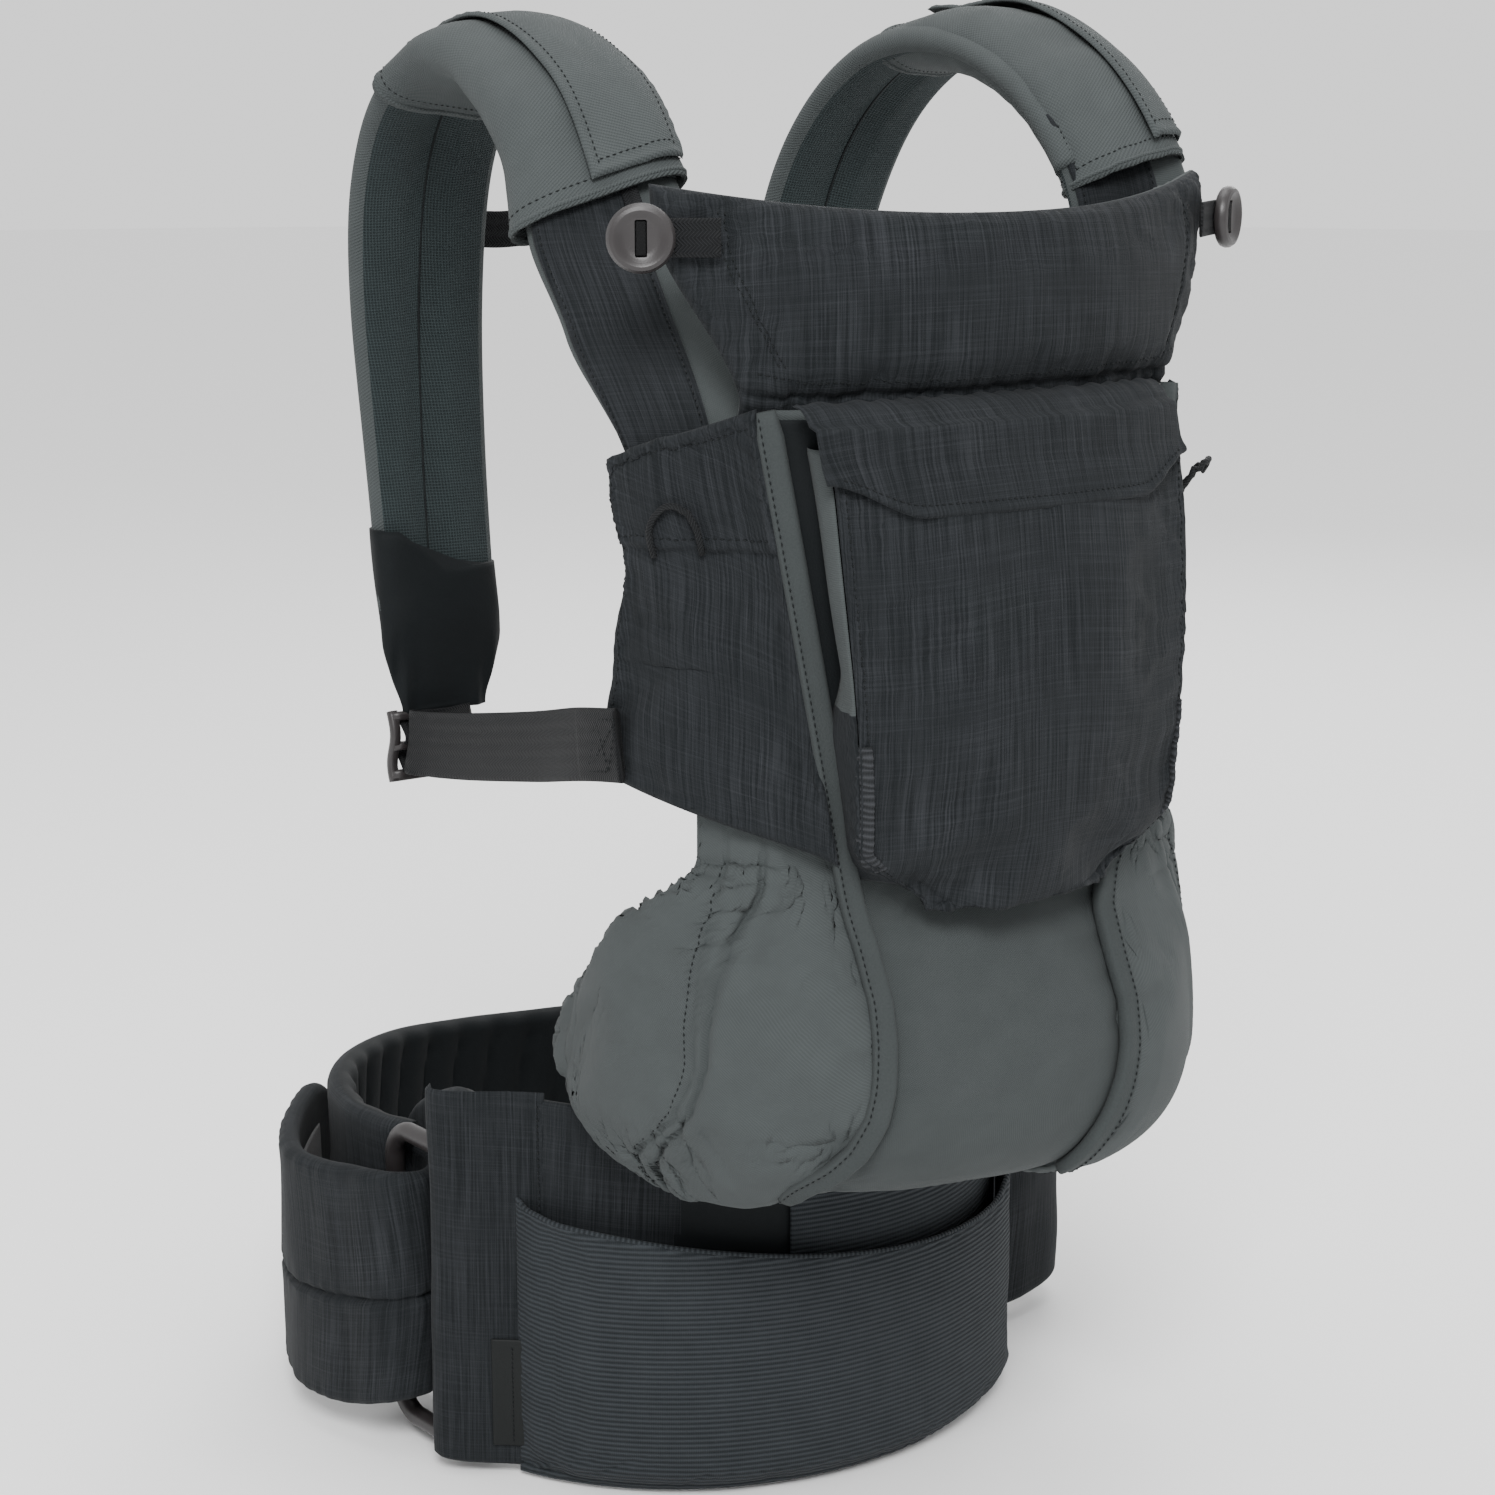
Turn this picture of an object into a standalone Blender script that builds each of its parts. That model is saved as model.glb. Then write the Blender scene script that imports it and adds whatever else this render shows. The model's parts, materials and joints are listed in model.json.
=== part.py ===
"""Soft baby carrier with waist belt, seat bucket, front stow pocket, headrest and padded straps.

Frame: origin at the centre of the waist-belt loop at the belt's middle height, +X to the
viewer's right, +Y toward the wearer's back, +Z up.  Lengths are metres.
"""
import math

import bmesh
import bpy
from mathutils import Vector

# ---------------------------------------------------------------- driving dimensions
FABRIC = 0.0016            # doubled woven cloth
WEBBING = 0.0020
PAD = 0.0100               # foam core of belt wing and shoulder straps

BELT_FRONT_CENTRE = (-0.012, -0.060)
BELT_FRONT_HALF_WIDTH = 0.156
BELT_FRONT_DEPTH = 0.140
BELT_BOTTOM_Z = -0.100
BELT_TOP_Z = 0.098
BELT_LEFT_ANGLE = math.radians(-76)
BELT_RIGHT_ANGLE = math.radians(60)

BODY_HALF_WIDTH = 0.153    # upper body plan: nearly flat in front, turning back at its sides
BODY_FRONT_Y = -0.284
BODY_TURN_BACK = 0.077
BODY_TURN_POWER = 4.9
SEAT_HALF_WIDTH = 0.150
SEAT_DEPTH = 0.148
SEAT_CENTRE_Y = -0.185
SEAT_TOP_Z = 0.248
SEAT_WIDEST_Z = 0.126
SEAT_BOTTOM_Z = 0.081
BODY_TOP_Z = 0.446
WING_TOP_Z = 0.447

POCKET_HALF_WIDTH = 0.105
POCKET_TOP_Z = 0.424
POCKET_BOTTOM_Z = 0.222
POCKET_FACE_Y = -0.324
POCKET_MOUTH_Y = -0.305
FLAP_HINGE = (0.0, -0.2960, 0.4380)
FLAP_DROP = 0.035

HEADREST_HALF_WIDTH = 0.150
HEADREST_FRONT_Y = -0.290
HEADREST_SAG = 0.054
HEADREST_BASE_Z = 0.449
HEADREST_TOP_Z = 0.528
HEADREST_HINGE = (0.0, -0.2930, 0.4475)

STRAP_WIDTH = 0.074
BUTTON_RADIUS = 0.0160
RING_ROD = 0.0055
RING_REAR = (-0.1850, -0.0340)
RING_FRONT = (-0.1800, -0.0880)
RING_TOP_Z = 0.064
RING_LOW_Z = -0.090
TAIL_HINGE = (-0.2168, -0.0365)
LOCK_AXIS_Y = 0.0250
LOCK_AXIS_Z = 0.2620
LOCK_X = 0.1280
LOCK_BARS = (-0.0085, -0.0220)      # heights of its two webbing slots below the tilt axis
CROSS_Z = 0.5080
CROSS_Y = 0.0565

# ---------------------------------------------------------------- materials
GREY_KNIT = ("grey_knit", (0.092, 0.107, 0.107), 0.85, 0.0)
DARK_HEATHER = ("dark_heather", (0.029, 0.034, 0.038), 0.85, 0.0)
BLACK_LINING = ("black_lining", (0.013, 0.016, 0.018), 0.80, 0.0)
STRETCH_KNIT = ("stretch_knit", (0.031, 0.036, 0.041), 0.90, 0.0)
SPACER_MESH = ("spacer_mesh", (0.035, 0.048, 0.050), 0.90, 0.0)
WEB = ("webbing", (0.038, 0.042, 0.046), 0.75, 0.0)
PLASTIC = ("acetal", (0.060, 0.055, 0.056), 0.45, 0.0)
FOAM = ("foam", (0.120, 0.120, 0.120), 0.95, 0.0)
ELASTIC = ("elastic", (0.026, 0.026, 0.028), 0.80, 0.0)
HOOK = ("hook_tape", (0.010, 0.010, 0.011), 0.95, 0.0)
LABEL = ("label", (0.009, 0.010, 0.010), 0.60, 0.0)


def material(spec):
    """One Principled material for each finish."""
    name, colour, roughness, metallic = spec
    found = bpy.data.materials.get(name)
    if found:
        return found
    made = bpy.data.materials.new(name)
    made.use_nodes = True
    shader = made.node_tree.nodes["Principled BSDF"]
    shader.inputs["Base Color"].default_value = (*colour, 1.0)
    shader.inputs["Roughness"].default_value = roughness
    shader.inputs["Metallic"].default_value = metallic
    made.diffuse_color = (*colour, 1.0)
    return made


def place(name, mesh, spec, joint=None, smooth=True):
    """Link a mesh as a named node; a moving piece gets its origin on its joint's axis."""
    obj = bpy.data.objects.new(name, mesh)
    bpy.context.scene.collection.objects.link(obj)
    mesh.materials.append(material(spec))
    if smooth:
        mesh.shade_smooth()
        mesh.set_sharp_from_angle(angle=math.radians(40))
    if joint:
        origin = Vector(joint)
        for vertex in mesh.vertices:
            vertex.co -= origin
        obj.location = origin
    return obj


def loft(name, rings, spec, joint=None):
    """Closed solid through rings of equal point count, with flat end caps."""
    built = bmesh.new()
    loops = [[built.verts.new(point) for point in ring] for ring in rings]
    count = len(loops[0])
    for low, high in zip(loops, loops[1:]):
        for i in range(count):
            j = (i + 1) % count
            built.faces.new((low[i], low[j], high[j], high[i]))
    built.faces.new(list(reversed(loops[0])))
    built.faces.new(loops[-1])
    bmesh.ops.recalc_face_normals(built, faces=built.faces)
    mesh = bpy.data.meshes.new(name)
    built.to_mesh(mesh)
    built.free()
    return place(name, mesh, spec, joint)


def sheet(name, point, columns, rows, thickness, spec, joint=None):
    """Cloth panel: a grid of point(u, v) given a real thickness, centred on that surface."""
    built = bmesh.new()
    grid = []
    for i in range(columns + 1):
        grid.append([built.verts.new(point(i / columns, j / rows)) for j in range(rows + 1)])
    for i in range(columns):
        for j in range(rows):
            built.faces.new((grid[i][j], grid[i + 1][j], grid[i + 1][j + 1], grid[i][j + 1]))
    mesh = bpy.data.meshes.new(name)
    built.to_mesh(mesh)
    built.free()
    obj = place(name, mesh, spec, joint)
    solidify = obj.modifiers.new("thickness", "SOLIDIFY")
    solidify.thickness = thickness
    solidify.offset = 0.0
    solidify.use_even_offset = True
    return obj


def band(name, path, across, thickness, width, spec, joint=None, round_off=0.30):
    """Strap: a rounded flat section swept along path; across(i) gives its width direction."""
    rings = []
    last = len(path) - 1
    for i, point in enumerate(path):
        ahead = Vector(path[min(i + 1, last)]) - Vector(path[max(i - 1, 0)])
        side = Vector(across(i / last)).normalized()
        normal = ahead.cross(side).normalized()
        side = normal.cross(ahead).normalized()
        half_w = 0.5 * (width(i / last) if callable(width) else width)
        half_t = 0.5 * (thickness(i / last) if callable(thickness) else thickness)
        bevel = min(round_off, 0.95) * 2.0 * half_t
        outline = ((-half_w, 0.0), (-half_w + bevel, -half_t), (half_w - bevel, -half_t),
                   (half_w, 0.0), (half_w - bevel, half_t), (-half_w + bevel, half_t))
        rings.append([Vector(point) + side * a + normal * b for a, b in outline])
    return loft(name, rings, spec, joint)


def box(name, low, high, spec, joint=None, bevel=0.0):
    """Rectangular block between two corners, with an optional edge bevel."""
    built = bmesh.new()
    bmesh.ops.create_cube(built, size=1.0)
    for vertex in built.verts:
        vertex.co = [low[k] + (vertex.co[k] + 0.5) * (high[k] - low[k]) for k in range(3)]
    mesh = bpy.data.meshes.new(name)
    built.to_mesh(mesh)
    built.free()
    obj = place(name, mesh, spec, joint, smooth=False)
    if bevel:
        edge = obj.modifiers.new("edge", "BEVEL")
        edge.width = bevel
        edge.segments = 1
    return obj


def cut(obj, cutter):
    """Subtract a guide object from a piece."""
    cutter.hide_render = True
    cutter.display_type = "WIRE"
    boolean = obj.modifiers.new("cut", "BOOLEAN")
    boolean.operation = "DIFFERENCE"
    boolean.object = cutter


def smooth_path(points, count):
    """Catmull-Rom curve through hand-chosen points, sampled evenly in parameter."""
    places = [Vector(p) for p in points]
    places = [places[0] * 2 - places[1]] + places + [places[-1] * 2 - places[-2]]
    spans = len(places) - 3
    sampled = []
    for k in range(count + 1):
        s = min(k / count * spans, spans - 1e-9)
        i = int(s)
        t = s - i
        a, b, c, d = places[i:i + 4]
        sampled.append(0.5 * (2 * b + (c - a) * t + (2 * a - 5 * b + 4 * c - d) * t * t
                              + (3 * b - a - 3 * c + d) * t ** 3))
    return sampled


def ease(value):
    """Smooth step from 0 to 1."""
    value = min(max(value, 0.0), 1.0)
    return value * value * (3 - 2 * value)


def mix(a, b, t):
    return a + (b - a) * t


# ---------------------------------------------------------------- shared design surfaces
def belt_front(angle, out, z):
    """Point on the belt's front half; angle 0 faces -Y, out is distance off the centre line."""
    a = BELT_FRONT_HALF_WIDTH + out
    b = BELT_FRONT_DEPTH + out
    x, y = BELT_FRONT_CENTRE
    return Vector((x + a * math.sin(angle), y - b * math.cos(angle), z))


WING_STATIONS = 44
WING_ROUTE = [(0.088, -0.1260, 0), (0.1120, -0.1100, 0), (0.1400, -0.1030, 0), (0.1720, -0.1010, 0),
              (0.2010, -0.0900, 0), (0.2080, -0.0600, 0), (0.2020, -0.0150, 0), (0.1850, 0.0330, 0),
              (0.1560, 0.0800, 0), (0.1130, 0.1230, 0), (0.0580, 0.1530, 0), (0.0000, 0.1600, 0),
              (-0.0520, 0.1530, 0), (-0.0980, 0.1350, 0), (-0.1400, 0.1010, 0), (-0.1690, 0.0600, 0),
              (-0.1820, 0.0200, 0), (-0.1790, -0.0100, 0), (-0.1715, -0.0300, 0)]


def belt_loop(turn, out, z):
    """Point on the wing's route: 0 right front, 0.5 back centre, 1 left at the ring."""
    path = smooth_path(WING_ROUTE, WING_STATIONS)
    i = round(turn * WING_STATIONS)
    ahead = (path[min(i + 1, WING_STATIONS)] - path[max(i - 1, 0)]).normalized()
    return Vector((path[i].x + ahead.y * out, path[i].y - ahead.x * out, z))


def wing_z(turn, v):
    """Height across the wing: hanging low at the right front, tall at the left."""
    low = mix(-0.098, -0.088, ease(turn / 0.3))
    low = mix(low, -0.070, ease((turn - 0.6) / 0.3))
    high = mix(0.026, 0.036, ease(turn / 0.4))
    high = mix(high, 0.062, ease((turn - 0.55) / 0.3))
    return mix(low, high, v)


def body_front(angle, out, z):
    """Upper body plan at height z; out is measured along the plan curve's normal."""
    x = BODY_HALF_WIDTH * math.sin(angle)
    share = abs(x) / 0.150
    slope = BODY_TURN_BACK * BODY_TURN_POWER / 0.150 * share ** (BODY_TURN_POWER - 1)
    normal = Vector((math.copysign(slope, x), -1, 0)).normalized()
    point = Vector((x, BODY_FRONT_Y + BODY_TURN_BACK * share ** BODY_TURN_POWER, z))
    return point + normal * out


def seat(angle, v, out):
    """Seat bucket: v 0 at the top seam, 1 where it meets the belt; it bulges between them."""
    top = body_front(angle, out, SEAT_TOP_Z - 0.003)
    a = SEAT_HALF_WIDTH + out
    b = SEAT_DEPTH + out
    wide = Vector((a * math.sin(angle), SEAT_CENTRE_Y - b * math.cos(angle), SEAT_WIDEST_Z))
    low = Vector((0.120 * math.sin(angle), -0.207 - 0.055 * math.cos(angle), SEAT_BOTTOM_Z - out))
    first = top.lerp(wide, ease(v / 0.5))
    first.z = mix(top.z, SEAT_WIDEST_Z, min(v / 0.5, 1.0))
    if v <= 0.5:
        return first
    turn = (v - 0.5) / 0.5 * math.pi / 2
    reach = math.cos(turn) ** 0.8
    point = low.lerp(wide, reach)
    point.z = mix(SEAT_WIDEST_Z, SEAT_BOTTOM_Z - out, math.sin(turn))
    return point


# ---------------------------------------------------------------- waist belt
def make_belt():
    """Front panel with its foam, the quilted wing round the back, the ring and the folded tail."""
    def front(out, low, high, extra=0.0):
        def point(u, v):
            angle = mix(BELT_LEFT_ANGLE - extra, BELT_RIGHT_ANGLE, u)
            rise = 0.005 * ease(abs(angle) / 1.3)
            top = mix(high, high - 0.050, ease((angle - 0.2) / 0.8))
            inward = 0.007 * ease((math.radians(-77) - angle) / math.radians(9))
            return belt_front(angle, out - inward, mix(low + rise, top, v))
        return point

    pad_end = math.radians(17)
    sheet("belt_front_lining", front(-0.0120, BELT_BOTTOM_Z + 0.003, BELT_TOP_Z - 0.003, pad_end),
          20, 3, FABRIC, BLACK_LINING)
    sheet("belt_front_foam", front(-0.0055, BELT_BOTTOM_Z + 0.006, BELT_TOP_Z - 0.006, pad_end),
          20, 3, 0.0090, FOAM)
    sheet("belt_front_panel", front(0.0012, BELT_BOTTOM_Z, BELT_TOP_Z), 24, 4, FABRIC, DARK_HEATHER)

    def divider(u, v):
        angle = mix(math.radians(-15), math.radians(55), u)
        return belt_front(angle, 0.0042, mix(-0.060, 0.052, v))
    sheet("belt_pocket_divider", divider, 12, 2, 0.0012, STRETCH_KNIT)

    def stretch(u, v):
        angle = mix(math.radians(-67), math.radians(58), u)
        edge = min(ease(u / 0.12), ease((1 - u) / 0.12), ease(v / 0.12))
        top = mix(0.042, 0.020, ease(u * 1.1)) - 0.006 * math.sin(math.pi * u)
        return belt_front(angle, mix(0.0072, 0.0165, edge), mix(BELT_BOTTOM_Z + 0.001, top, v))
    sheet("belt_stretch_pocket", stretch, 24, 6, FABRIC, STRETCH_KNIT)

    def route(out, trim):
        def point(u, v):
            return belt_loop(u, out, wing_z(u, mix(trim, 1 - trim, v)))
        return point
    sheet("belt_wing_lining", route(-0.0065, 0.0), WING_STATIONS, 1, FABRIC, BLACK_LINING)
    sheet("belt_wing_foam", route(0.0, 0.04), WING_STATIONS, 1, 0.0085, FOAM)
    sheet("belt_wing_cover", route(0.0065, 0.0), WING_STATIONS, 1, FABRIC, DARK_HEATHER)

    # folded tab that holds the ring's front bar, sewn to the panel's left end
    tab_route = [(-0.1680, -0.0930, 0), (-0.1710, -0.0850, 0), (-0.1750, -0.0795, 0),
                 (-0.1820, -0.0790, 0), (-0.1880, -0.0850, 0), (-0.1880, -0.0920, 0),
                 (-0.1825, -0.0990, 0), (-0.1730, -0.1030, 0), (-0.1690, -0.1060, 0)]
    path = smooth_path(tab_route, 16)

    def tab(u, v):
        here = path[round(u * 16)]
        return Vector((here.x, here.y, mix(BELT_BOTTOM_Z + 0.024, BELT_TOP_Z - 0.044, v)))
    sheet("belt_ring_tab", tab, 16, 2, FABRIC, DARK_HEATHER)
    make_ring()

    # the wing's end turns round the ring's rear bar and comes back outside as the tail
    fold_route = [(-0.1710, -0.0320, 0), (-0.1705, -0.0430, 0), (-0.1740, -0.0550, 0),
                  (-0.1860, -0.0640, 0), (-0.1990, -0.0600, 0), (-0.2070, -0.0490, 0),
                  (-0.2100, -0.0380, 0)]
    fold_path = [Vector((p.x, p.y, -0.012)) for p in smooth_path(fold_route, 14)]
    band("belt_fold", fold_path, lambda t: (0, 0, 1), 0.0080, 0.124, DARK_HEATHER)
    make_tail()
    make_label()


def make_ring():
    """Tall rounded rectangle of rod; its front bar sits in the tab, its rear bar in the fold."""
    corner = 0.016
    centre_top = RING_TOP_Z - corner
    centre_low = RING_LOW_Z + corner
    front = Vector((RING_FRONT[0], RING_FRONT[1], 0))
    rear = Vector((RING_REAR[0], RING_REAR[1], 0))
    along = (rear - front).normalized()
    width = (rear - front).length
    points = []
    for start, u, z in ((90, width - corner, centre_top), (0, width - corner, centre_low),
                        (-90, corner, centre_low), (-180, corner, centre_top)):
        for k in range(5):
            angle = math.radians(start - 22.5 * k)
            point = front + along * (u + corner * math.cos(angle))
            point.z = z + corner * math.sin(angle)
            points.append(point)
    curve = bpy.data.curves.new("belt_ring", "CURVE")
    curve.dimensions = "3D"
    spline = curve.splines.new("POLY")
    spline.points.add(len(points) - 1)
    for slot, point in zip(spline.points, points):
        slot.co = (*point, 1.0)
    spline.use_cyclic_u = True
    curve.bevel_depth = RING_ROD
    curve.bevel_resolution = 2
    obj = bpy.data.objects.new("belt_ring", curve)
    curve.materials.append(material(PLASTIC))
    bpy.context.scene.collection.objects.link(obj)


def make_tail():
    """Padded end of the wing lying back on itself, with the hook patch inside."""
    hinge = (*TAIL_HINGE, 0.0)
    route = [(-0.2108, -0.0350, 0), (-0.2165, -0.0180, 0), (-0.2195, 0.0080, 0),
             (-0.2110, 0.0360, 0), (-0.1940, 0.0660, 0), (-0.1740, 0.0910, 0), (-0.1540, 0.1110, 0)]
    path = [Vector((p.x, p.y, -0.020)) for p in smooth_path(route, 12)]
    band("belt_tail", path, lambda t: (0, 0, 1), 0.0110, 0.132, DARK_HEATHER, hinge)

    def patch(out):
        def point(u, v):
            k = mix(3, 10, u)
            here = path[int(k)].lerp(path[min(int(k) + 1, 12)], k - int(k))
            ahead = (path[min(int(k) + 1, 12)] - path[int(k) - 1]).normalized()
            inward = Vector((ahead.y, -ahead.x, 0))
            place_at = here + inward * out
            return Vector((place_at.x, place_at.y, mix(-0.062, 0.030, v)))
        return point
    sheet("tail_hook_patch", patch(0.0071), 8, 1, 0.0010, HOOK, hinge)


def make_label():
    """Small blank label sewn on the front of the belt, beside the stretch pocket."""
    def point(u, v):
        angle = mix(math.radians(-73.0), math.radians(-69.0), u)
        return belt_front(angle, 0.0035, mix(-0.090, -0.034, v))
    sheet("side_label", point, 2, 1, 0.0010, LABEL)


# ---------------------------------------------------------------- body and seat
def binding_angle(z):
    """Where the edge binding runs round the body at height z."""
    low = mix(math.radians(27), math.radians(33), ease((z - 0.080) / 0.120))
    return low + math.radians(12.5) * min(max((z - 0.250) / 0.200, 0.0), 1.0)


def make_body():
    """Body panel, breathable inner panel, seat panels, side wings and their bindings."""
    def body(u, v):
        z = mix(SEAT_TOP_Z + 0.001, BODY_TOP_Z, v)
        edge = binding_angle(z)
        return body_front(mix(-edge, edge, u), 0.0, z)
    sheet("body_panel", body, 14, 4, FABRIC, GREY_KNIT)

    def inner(u, v):
        z = mix(SEAT_TOP_Z + 0.006, BODY_TOP_Z - 0.006, v)
        edge = binding_angle(z) - math.radians(2)
        return body_front(mix(-edge, edge, u), -0.0045, z)
    sheet("body_inner_mesh", inner, 12, 2, 0.0030, SPACER_MESH)

    def centre(u, v):
        point = seat(0.0, v * 0.97, 0.0)
        edge = binding_angle(point.z) - math.radians(1.4)
        return seat(mix(-edge, edge, u), v * 0.97, 0.0)
    sheet("seat_centre_panel", centre, 12, 12, 0.0030, GREY_KNIT)

    for name, side in (("left", -1), ("right", 1)):
        make_side(name, side)


def make_side(name, side):
    """Everything that the body has once on each side."""
    def pad(u, v):
        point = seat(0.0, v * 0.97, 0.0)
        near = binding_angle(point.z) + math.radians(1.4)
        far = mix(math.radians(62), math.radians(115), ease(v / 0.50))
        far = mix(far, math.radians(90), ease((v - 0.50) / 0.35))
        return seat(side * mix(near, far, u), v * 0.97, 0.0)
    sheet("seat_pad_" + name, pad, 8, 12, 0.0075, GREY_KNIT)

    def wing(u, v):
        z = mix(0.275, WING_TOP_Z, v)
        reach = 0.5 + 0.5 * math.cos(2 * math.pi * (z - 0.342) / 0.16)
        far = math.radians(79) - math.radians(3) * reach
        near = binding_angle(z) + math.radians(2.0)
        drop = 0.018 * ease((0.330 - z) / 0.070) * (1 - u)
        rise = 0.025 * u * ease((z - 0.390) / 0.050)
        return body_front(side * mix(near, far, u), 0.0045, z - drop - rise)
    sheet("side_panel_" + name, wing, 7, 8, FABRIC, DARK_HEATHER)

    def binding(u, v):
        shift = math.radians(mix(-2.6, 1.6, u))
        if v < 0.6:
            down = mix(0.88, 0.0, v / 0.6)
            z = seat(0.0, down, 0.0).z
            return seat(side * (binding_angle(z) + shift), down, mix(0.0090, 0.0065, v / 0.6))
        z = mix(SEAT_TOP_Z - 0.003, BODY_TOP_Z - 0.004, (v - 0.6) / 0.4)
        rise = mix(0.0065, 0.0040, ease((v - 0.6) / 0.15))
        return body_front(side * (binding_angle(z) + shift), rise, z)
    sheet("binding_" + name, binding, 2, 20, 0.0014, GREY_KNIT)

    loop_centre = body_front(side * math.radians(64), 0.0078, 0.394)
    outward = Vector((math.sin(side * math.radians(64)), -math.cos(side * math.radians(64)), 0))
    sideways = Vector((outward.y, -outward.x, 0)) * side
    route = []
    for k in range(13):
        turn = math.radians(-60 + 300 * k / 12)
        route.append(loop_centre + sideways * 0.0095 * math.cos(turn)
                     + Vector((0, 0, 0.0105 * math.sin(turn))) + outward * 0.0015)
    tube("elastic_loop_" + name, route, 0.0018, ELASTIC)


def tube(name, route, radius, spec, joint=None):
    """Round cord along a route, with filled ends."""
    curve = bpy.data.curves.new(name, "CURVE")
    curve.dimensions = "3D"
    spline = curve.splines.new("POLY")
    spline.points.add(len(route) - 1)
    origin = Vector(joint) if joint else Vector()
    for slot, point in zip(spline.points, route):
        slot.co = (*(point - origin), 1.0)
    curve.bevel_depth = radius
    curve.bevel_resolution = 1
    curve.use_fill_caps = True
    curve.materials.append(material(spec))
    obj = bpy.data.objects.new(name, curve)
    obj.location = origin
    bpy.context.scene.collection.objects.link(obj)
    return obj


# ---------------------------------------------------------------- front stow pocket
def pocket_width(z):
    """Half width of the pocket face: tapered toward its bottom corners."""
    taper = ease((z - POCKET_BOTTOM_Z) / 0.034)
    return mix(0.052, mix(0.090, POCKET_HALF_WIDTH, ease((z - 0.250) / 0.150)), taper)


def pocket_face(u, z, out):
    """Bulging pocket face; u runs -1 to 1 across it."""
    belly = math.sin(math.pi * mix(0.22, 1.0, min((z - POCKET_BOTTOM_Z) / 0.215, 1.0))) ** 0.7
    half = pocket_width(z)
    y = mix(POCKET_MOUTH_Y, POCKET_FACE_Y, belly) + 0.016 * abs(u) ** 2.6
    return Vector((half * u, y - out, z))


def make_pocket():
    """Face, side gussets and the hinged flap."""
    def face(u, v):
        return pocket_face(mix(-1, 1, u), mix(POCKET_BOTTOM_Z, POCKET_TOP_Z, v), 0.0)
    sheet("pocket_front", face, 14, 9, FABRIC, DARK_HEATHER)

    for name, side in (("left", -1), ("right", 1)):
        def gusset(u, v):
            z = mix(0.252, POCKET_TOP_Z + 0.004, v)
            edge = pocket_face(side, z, 0.0)
            root = body_front(side * (binding_angle(z) - math.radians(5.0)), 0.0045, z)
            start = Vector((edge.x, edge.y + 0.0032, z))
            return start.lerp(root, u)
        sheet("pocket_gusset_" + name, gusset, 3, 6, FABRIC, GREY_KNIT)

    hinge = Vector(FLAP_HINGE)

    def flap(u, v):
        across = mix(-1, 1, u)
        drop = FLAP_DROP * mix(0.55, 1.0, ease((1.0 - abs(across)) / 0.42))
        if v < 0.25:
            t = v / 0.25
            y = mix(hinge.y + 0.002, POCKET_MOUTH_Y - 0.0045, t) + 0.016 * abs(across) ** 2.6 * t
            return Vector((0.110 * across, y, hinge.z - 0.0035 * t * t))
        t = (v - 0.25) / 0.75
        z = hinge.z - 0.0035 - drop * t
        near = pocket_face(across, min(z, POCKET_TOP_Z), 0.0045)
        lip = POCKET_MOUTH_Y - 0.0045 + 0.016 * abs(across) ** 2.6
        return Vector((mix(0.110 * across, near.x * 1.02, t), min(mix(lip, near.y, ease(t * 1.6)), near.y), z))
    sheet("pocket_flap", flap, 14, 8, FABRIC, DARK_HEATHER, hinge)


# ---------------------------------------------------------------- headrest
def headrest_curve(x, out):
    """Plan of the headrest: a shallow arc, nearest the viewer in the middle."""
    return HEADREST_FRONT_Y - out + HEADREST_SAG * (abs(x) / 0.164) ** 2


def make_headrest():
    """Padded neck support that folds down at its base, with its side tabs and buttons."""
    hinge = Vector(HEADREST_HINGE)

    def panel(out, trim):
        def point(u, v):
            across = mix(-1, 1, u)
            half = mix(0.119, HEADREST_HALF_WIDTH, ease(v * 1.15)) - trim
            x = half * across
            dip = 0.014 * abs(across) ** 2.2
            top = HEADREST_TOP_Z - trim + dip
            z = mix(HEADREST_BASE_Z + trim, top, v)
            lean = 0.004 * math.sin(math.pi * v)
            return Vector((x, headrest_curve(x, out + lean), z))
        return point
    sheet("headrest_cover", panel(0.0, 0.0), 16, 4, FABRIC, DARK_HEATHER, hinge)
    sheet("headrest_foam", panel(-0.0068, 0.004), 16, 3, 0.0090, FOAM, hinge)
    sheet("headrest_lining", panel(-0.0135, 0.0), 16, 3, FABRIC, GREY_KNIT, hinge)

    for name, side in (("left", -1), ("right", 1)):
        centre = Vector((side * 0.1660, -0.2480, 0.5200))
        axis = Vector((side * 0.50, -0.866, 0.0)).normalized()
        inboard = Vector((-side * 0.866, -0.50, 0.0)).normalized()
        tab = [centre + inboard * 0.0210 - axis * 0.0048, centre + inboard * 0.0110 - axis * 0.0050,
               centre - inboard * 0.0040 - axis * 0.0048]
        band("headrest_tab_" + name, tab, lambda t: (0, 0, 1), WEBBING, 0.0170, WEB, hinge)
        button("headrest_button_" + name, centre, axis, hinge)


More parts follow.
